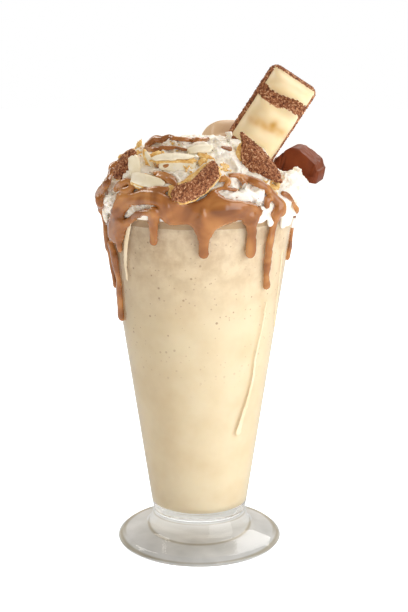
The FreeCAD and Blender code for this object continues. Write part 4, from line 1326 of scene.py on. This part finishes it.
shell_right = shell_piece("shell_right_crumb", "shell_right", lay(12, 58, -60), [
    (14.7, 6.5, 3.0, 2.0, 1.5, 8, 0.03, RIGHT_LEAF, 0),
    (14.8, 6.9, 2.6, 1.1, 0.5, 9, 0.05, RIGHT_LEAF, 1),
    (14.2, 6.4, 2.4, 0.9, -0.3, 10, 0.05, RIGHT_LEAF, 2),
])
shell_left = shell_piece("shell_left_crumb", "shell_left", lay(-48, 62, 70), [
    (7.8, 4.6, 1.6, 1.7, 1.2, 13, 0.07, 2.4, 0),
    (8.0, 4.9, 1.5, 1.0, 0.5, 14, 0.12, 2.6, 1),
])
shell_piece("shell_pale_dome", "shell_pale", lay(-8, 42, 2), [
    (10.6, 5.0, 2.6, 1.2, 1.4, 21, 0.04, PALE_DOME, 2),
    (10.8, 5.2, 2.4, 0.6, 0.7, 22, 0.06, PALE_WAFER, 1),
    (10.8, 6.0, 2.6, 1.1, -0.3, 23, 0.05, PALE_BASE, 2),
])
shell_piece("shell_low_slab", "shell_low", lay(-20, 52, -14), [
    (8.6, 3.0, 0.8, 1.2, 2.0, 31, 0.05, 3.6, 2),
    (8.8, 3.4, 0.8, 0.4, 1.4, 32, 0.06, 3.4, 1),
    (8.7, 3.8, 0.8, 0.7, 0.6, 33, 0.05, 3.4, 2),
    (8.9, 4.2, 0.8, 0.6, -0.1, 34, 0.08, 3.2, 1),
])

# ---------------------------------------------------------------------------------------------------
# Crumbs: fine cocoa grains stuck all over the crumb coating of the bar and the broken shells, strewn
# by Geometry Nodes over every coated face.
# ---------------------------------------------------------------------------------------------------
GRAIN_SIZE = 0.40
GRAINS_PER_SQUARE_METRE = 1.9e6


def strewing_tree():
    """Geometry Nodes that strew small lumps over a carrier's faces and leave the carrier out."""
    tree = bpy.data.node_groups.new("strewn_grains", "GeometryNodeTree")
    face = tree.interface
    face.new_socket("Geometry", in_out="INPUT", socket_type="NodeSocketGeometry")
    kinds = {"Per square metre": "Float", "Grain size": "Float", "Seed": "Int", "Finish": "Material"}
    for name, kind in kinds.items():
        face.new_socket(name, in_out="INPUT", socket_type="NodeSocket" + kind)
    face.new_socket("Geometry", in_out="OUTPUT", socket_type="NodeSocketGeometry")
    node, link = tree.nodes.new, tree.links.new
    given = node("NodeGroupInput")
    strew = node("GeometryNodeDistributePointsOnFaces")
    link(given.outputs["Geometry"], strew.inputs["Mesh"])
    link(given.outputs["Per square metre"], strew.inputs["Density"])
    link(given.outputs["Seed"], strew.inputs["Seed"])
    lump = node("GeometryNodeMeshIcoSphere")
    lump.inputs["Subdivisions"].default_value = 1
    link(given.outputs["Grain size"], lump.inputs["Radius"])
    turn = node("FunctionNodeRandomValue")
    turn.data_type = "FLOAT_VECTOR"
    turn.inputs[1].default_value = (6.283, 6.283, 6.283)
    size = node("FunctionNodeRandomValue")
    size.data_type = "FLOAT_VECTOR"
    size.inputs[0].default_value = (0.5, 0.5, 0.5)
    size.inputs[1].default_value = (1.45, 1.45, 1.15)
    for made in (turn, size):
        link(given.outputs["Seed"], made.inputs["Seed"])
    spread = node("GeometryNodeInstanceOnPoints")
    link(strew.outputs["Points"], spread.inputs["Points"])
    link(lump.outputs["Mesh"], spread.inputs["Instance"])
    link(turn.outputs[0], spread.inputs["Rotation"])
    link(size.outputs[0], spread.inputs["Scale"])
    real = node("GeometryNodeRealizeInstances")
    link(spread.outputs[0], real.inputs[0])
    finish = node("GeometryNodeSetMaterial")
    link(real.outputs[0], finish.inputs["Geometry"])
    link(given.outputs["Finish"], finish.inputs["Material"])
    out = node("NodeGroupOutput")
    link(finish.outputs[0], out.inputs[0])
    return tree


grain_material, tree, shader = new_material("cocoa_grains")
where = object_coordinates(tree)
shade = noise_node(tree, 820.0, 2.0, 0.5, where)
cocoa_browns = [
    (0.36, srgb(92, 44, 22)), (0.48, srgb(148, 88, 52)), (0.56, srgb(188, 128, 86)),
    (0.66, srgb(232, 192, 154)),
]
tree.links.new(ramp(tree, shade.outputs["Fac"], cocoa_browns), shader.inputs["Base Color"])
shader.inputs["Roughness"].default_value = 0.6
bump(tree, shader, shade.outputs["Fac"], 0.5, 0.3 * MM)

STREWING = strewing_tree()
coated = bmesh.new()
for piece, coat_index in ((tall_bar, 1), (shell_front, 0), (shell_right, 0), (shell_left, 0)):
    part = bmesh.new()
    part.from_mesh(piece.data)
    bmesh.ops.delete(part, geom=[f for f in part.faces if f.material_index != coat_index], context="FACES")
    loose = bpy.data.meshes.new("coated_part")
    part.to_mesh(loose)
    part.free()
    coated.from_mesh(loose)
    bpy.data.meshes.remove(loose)
coated_mesh = bpy.data.meshes.new("coated_faces")
coated.to_mesh(coated_mesh)
coated.free()
coated_mesh.materials.clear()
carrier = bpy.data.objects.new("coated_faces", coated_mesh)
scene.collection.objects.link(carrier)
grains = grown("cocoa_crumb_grains", carrier, STREWING, per_square_metre=GRAINS_PER_SQUARE_METRE,
               grain_size=GRAIN_SIZE * MM, seed=7, finish=grain_material)
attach(grains, "root")

# ---------------------------------------------------------------------------------------------------
# Snapped bits: an upright white slab, a wafer stick, curled white leaves and torn golden wafer, broken
# off the same bars and pressed into the cream by hand.
# ---------------------------------------------------------------------------------------------------
# Where each is seen from the front (x, z), its half length, half width, arch, thickness, raggedness,
# outline power, turn, how far it stands out, and its material: 0 crumb, 1 wafer, 2 white.
BITS = [
    (-29.8, 190.6, 6.2, 3.0, 0.4, 1.8, 0.08, 3.4, (6, 68, 101), 1.8, 2),
    (-24.6, 194.4, 5.8, 1.7, 0.5, 1.7, 0.10, 3.0, (0, 62, 116), 2.0, 1),
    (-24.0, 195.0, 5.2, 1.0, 0.3, 0.9, 0.12, 3.0, (0, 62, 114), 3.6, 2),
    (-33.4, 200.2, 2.8, 1.7, 1.0, 0.7, 0.30, 2.0, (-20, 60, 20), 1.4, 1),
    (-29.4, 201.2, 2.6, 1.5, 1.0, 0.7, 0.32, 2.0, (10, 66, 80), 1.4, 1),
    (-36.6, 199.0, 2.4, 1.3, 0.8, 0.7, 0.28, 2.0, (-30, 55, 10), 2.0, 1),
    (-20.6, 197.2, 2.4, 1.9, 0.6, 1.5, 0.20, 2.2, (0, 50, 20), 0.8, 1),
    (19.0, 196.8, 5.6, 1.9, 0.8, 0.9, 0.10, 2.2, (-10, 70, 84), 1.6, 1),
    (0.4, 199.4, 6.2, 2.6, 1.2, 0.8, 0.12, 2.0, (0, 46, 10), 1.6, 2),
    (3.0, 196.2, 3.4, 1.4, 0.8, 1.0, 0.25, 2.4, (8, 50, -18), 1.2, 1),
    (1.4, 193.6, 2.2, 1.3, 0.6, 1.0, 0.30, 2.4, (0, 50, 50), 1.0, 1),
    (12.4, 191.4, 1.8, 1.3, 0.6, 1.2, 0.28, 2.2, (0, 55, 10), 0.8, 1),
    (8.0, 187.8, 2.4, 1.0, 0.5, 0.8, 0.25, 2.2, (0, 55, 60), 0.8, 1),
    (36.6, 189.6, 2.8, 1.2, 0.8, 0.7, 0.25, 2.2, (20, 68, 100), 1.4, 1),
    (38.6, 185.4, 2.2, 1.3, 0.6, 0.9, 0.28, 2.2, (20, 60, 60), 1.0, 1),
    (35.6, 182.0, 2.6, 1.5, 0.8, 1.1, 0.26, 2.2, (10, 55, -30), 1.0, 1),
    (-4.0, 179.4, 3.4, 1.3, 0.5, 0.8, 0.22, 2.4, (4, 50, 22), 3.0, 1),
    (1.8, 181.0, 2.8, 1.4, 0.5, 0.9, 0.24, 2.2, (4, 50, 40), 3.0, 1),
    (37.6, 183.4, 3.0, 1.2, 0.8, 0.7, 0.30, 2.2, (20, 64, 70), 1.8, 1),
    (34.0, 179.6, 2.2, 1.4, 0.6, 0.9, 0.28, 2.2, (10, 55, -10), 1.0, 1),
    (-8.5, 178.4, 2.6, 1.2, 0.5, 0.8, 0.26, 2.2, (4, 50, 10), 3.0, 1),
    (5.5, 183.0, 2.6, 1.2, 0.5, 0.8, 0.24, 2.2, (4, 50, 48), 3.0, 1),
    (-27.0, 184.2, 2.0, 1.5, 0.5, 1.0, 0.30, 2.2, (0, 50, 90), 1.0, 1),
    (-28.0, 180.4, 2.2, 0.9, 0.5, 0.7, 0.30, 2.2, (0, 50, 110), 1.2, 2),
]
bit_verts, bit_faces, bit_marks = [], [], []
for place_at, (x, z, long, wide, arch, thickness, ragged, power, turn, lift, mark) in enumerate(BITS):
    spot, normal = from_front(x, z, cream_skin)
    verts, faces = flake(long, wide, arch, thickness, -0.5 * thickness, 40 + place_at, ragged, power, 36, 5)
    start = len(bit_verts)
    bit_verts += [lay(*turn) @ Vector(v) + spot + normal * (lift - 0.4) for v in verts]
    bit_faces += [tuple(start + i for i in face) for face in faces]
    bit_marks += [mark] * len(faces)
bit_mesh = bpy.data.meshes.new("bits")
bit_mesh.from_pydata(bit_verts, [], bit_faces)
outward(bit_mesh)
bits = into_piece("snapped_bits", bit_mesh, [crumb_coat, wafer_material, ivory])
bits.data.polygons.foreach_set("material_index", bit_marks)
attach(bits, "root")

# ---------------------------------------------------------------------------------------------------
# Wafer flakes: golden shards and dust of broken wafer, fallen round the broken shells and over the
# cream, with a few dark specks of cocoa.
# ---------------------------------------------------------------------------------------------------
# Where flakes lie, seen from the front: x, z, spread, how many and the largest half length.
FLAKE_SPOTS = [
    (-19.0, 198.0, 3.5, 9, 1.9), (-24.5, 196.5, 2.2, 5, 1.6), (2.0, 194.5, 4.5, 16, 1.9),
    (-4.0, 191.0, 4.0, 12, 1.7),
    (11.5, 192.0, 2.6, 8, 1.6), (36.5, 186.0, 2.6, 11, 1.8), (34.0, 182.5, 3.0, 12, 1.8),
    (37.5, 179.5, 2.0, 6, 1.2),
    (-33.5, 202.0, 3.0, 9, 2.0), (-29.0, 199.0, 3.2, 8, 1.7), (-24.5, 192.5, 2.0, 6, 1.6),
    (-25.5, 184.0, 2.6, 7, 1.3),
    (-30.0, 179.5, 2.0, 4, 1.0), (5.0, 180.5, 3.0, 8, 1.5), (14.0, 189.5, 3.0, 6, 1.2),
    (20.0, 200.0, 2.0, 5, 1.3),
    (-12.0, 200.5, 5.0, 7, 1.2), (0.5, 199.0, 4.0, 6, 1.1), (21.5, 181.0, 5.0, 5, 0.9),
    (-42.0, 193.0, 2.0, 4, 1.2),
]


def shard(dice, half_long):
    """A thin crooked shard: an uneven five-sided plate, as vertices and faces round the origin."""
    sides = 5
    thick = dice.uniform(0.18, 0.34)
    ring = []
    for k in range(sides):
        a = 2 * math.pi * k / sides + dice.uniform(-0.4, 0.4)
        reach = half_long * dice.uniform(0.45, 1.0)
        ring.append((reach * math.cos(a), reach * 0.65 * math.sin(a), dice.uniform(-0.2, 0.2) * half_long))
    verts = [(x, y, z + thick) for x, y, z in ring] + [(x * 0.9, y * 0.9, z - thick) for x, y, z in ring]
    faces = [tuple(range(sides)), tuple(reversed(range(sides, 2 * sides)))]
    faces += [(k, k + sides, (k + 1) % sides + sides, (k + 1) % sides) for k in range(sides)]
    return verts, faces


def strewn(name, spots, seed, material, shape, lift):
    """Small pieces dropped on the cream near the spots, turned at random, as one piece."""
    dice = random.Random(seed)
    pile = Pile()
    for x, z, spread, count, largest in spots:
        for _ in range(count):
            aside, above = dice.gauss(0, spread * 0.5), dice.gauss(0, spread * 0.4)
            spot, normal = from_front(x + aside, z + above, cream_skin)
            if spot.z < GLASS_HEIGHT:
                continue
            turn = Matrix.Rotation(dice.uniform(0, 6.28), 3, "Z") @ Matrix.Rotation(dice.gauss(0, 0.6), 3,
                                                                                    "X")
            turn = normal.to_track_quat("Z", "Y").to_matrix() @ turn
            verts, faces = shape(dice, largest * dice.uniform(0.35, 1.0))
            pile.add([turn @ Vector(v) + spot + normal * lift for v in verts], faces)
    mesh = bpy.data.meshes.new(name)
    mesh.from_pydata(pile.verts, [], pile.faces)
    outward(mesh)
    piece = into_piece(name, mesh, [material])
    piece.data.polygons.foreach_set("use_smooth", [False] * len(piece.data.polygons))
    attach(piece, "root")
    return piece


strewn("wafer_flakes", FLAKE_SPOTS, 5, wafer_material, shard, 0.35)

# Dust of cocoa on the cream: x, z, spread, how many and the largest half length.
DUST_SPOTS = [
    (-10, 204, 9, 7, 0.45), (8, 200, 6, 5, 0.4), (25, 178, 9, 7, 0.45), (42, 178, 6, 4, 0.4),
    (-30, 190, 8, 6, 0.4),
]
strewn("cocoa_dust", DUST_SPOTS, 9, grain_material, shard, 0.1)

# ---------------------------------------------------------------------------------------------------
# Melted cream on the glass: thin white runs beside the left drips and two faint long dribbles at the
# right, where cream has slid over the rim and dried on the outside.
# ---------------------------------------------------------------------------------------------------
DRIBBLE_DEPTH = 0.30
# Seen from the front: (x, z, half width).
DRIBBLES = [
    [(-33.2, 166, 0.8), (-34.4, 162, 1.2), (-35.7, 156, 1.6), (-36.3, 150, 1.6), (-36.5, 144, 1.4),
     (-36.1, 139, 1.1), (-35.6, 135.5, 0.9)],
    [(33.4, 124, 0.6), (31.2, 110, 0.7), (28.4, 97, 0.9), (27.0, 84, 1.1), (23.8, 70.5, 1.4),
     (21.2, 62.0, 1.5), (19.8, 56.0, 1.9)],
    [(41, 150, 0.8), (40, 138, 0.7), (38.5, 124, 0.7), (37.6, 112, 0.8)],
]
dribble_pile = Pile()
for run in DRIBBLES:
    for x, z, half_width in smooth_run(run, 0.5):
        spot, normal = from_front(x, z)
        dribble_pile.ball(spot, (half_width, half_width, DRIBBLE_DEPTH), lying_flat(normal))
dribble_material, tree, shader = new_material("melted_cream")
where = object_coordinates(tree)
thin = noise_node(tree, 160.0, 2.0, 0.5, where)
tree.links.new(ramp(tree, thin.outputs["Fac"], [(0.3, srgb(236, 216, 180)), (0.7, srgb(246, 232, 204))]),
               shader.inputs["Base Color"])
shader.inputs["Roughness"].default_value = 0.3
bump(tree, shader, thin.outputs["Fac"], 0.1, 0.2 * MM)
dribbles = into_piece("cream_dribbles", dribble_pile.fused("dribble_skin", 0.3, 3), [dribble_material])
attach(dribbles, "root")

# ---------------------------------------------------------------------------------------------------
# The view layer is brought up to date.
# ---------------------------------------------------------------------------------------------------
bpy.context.view_layer.update()
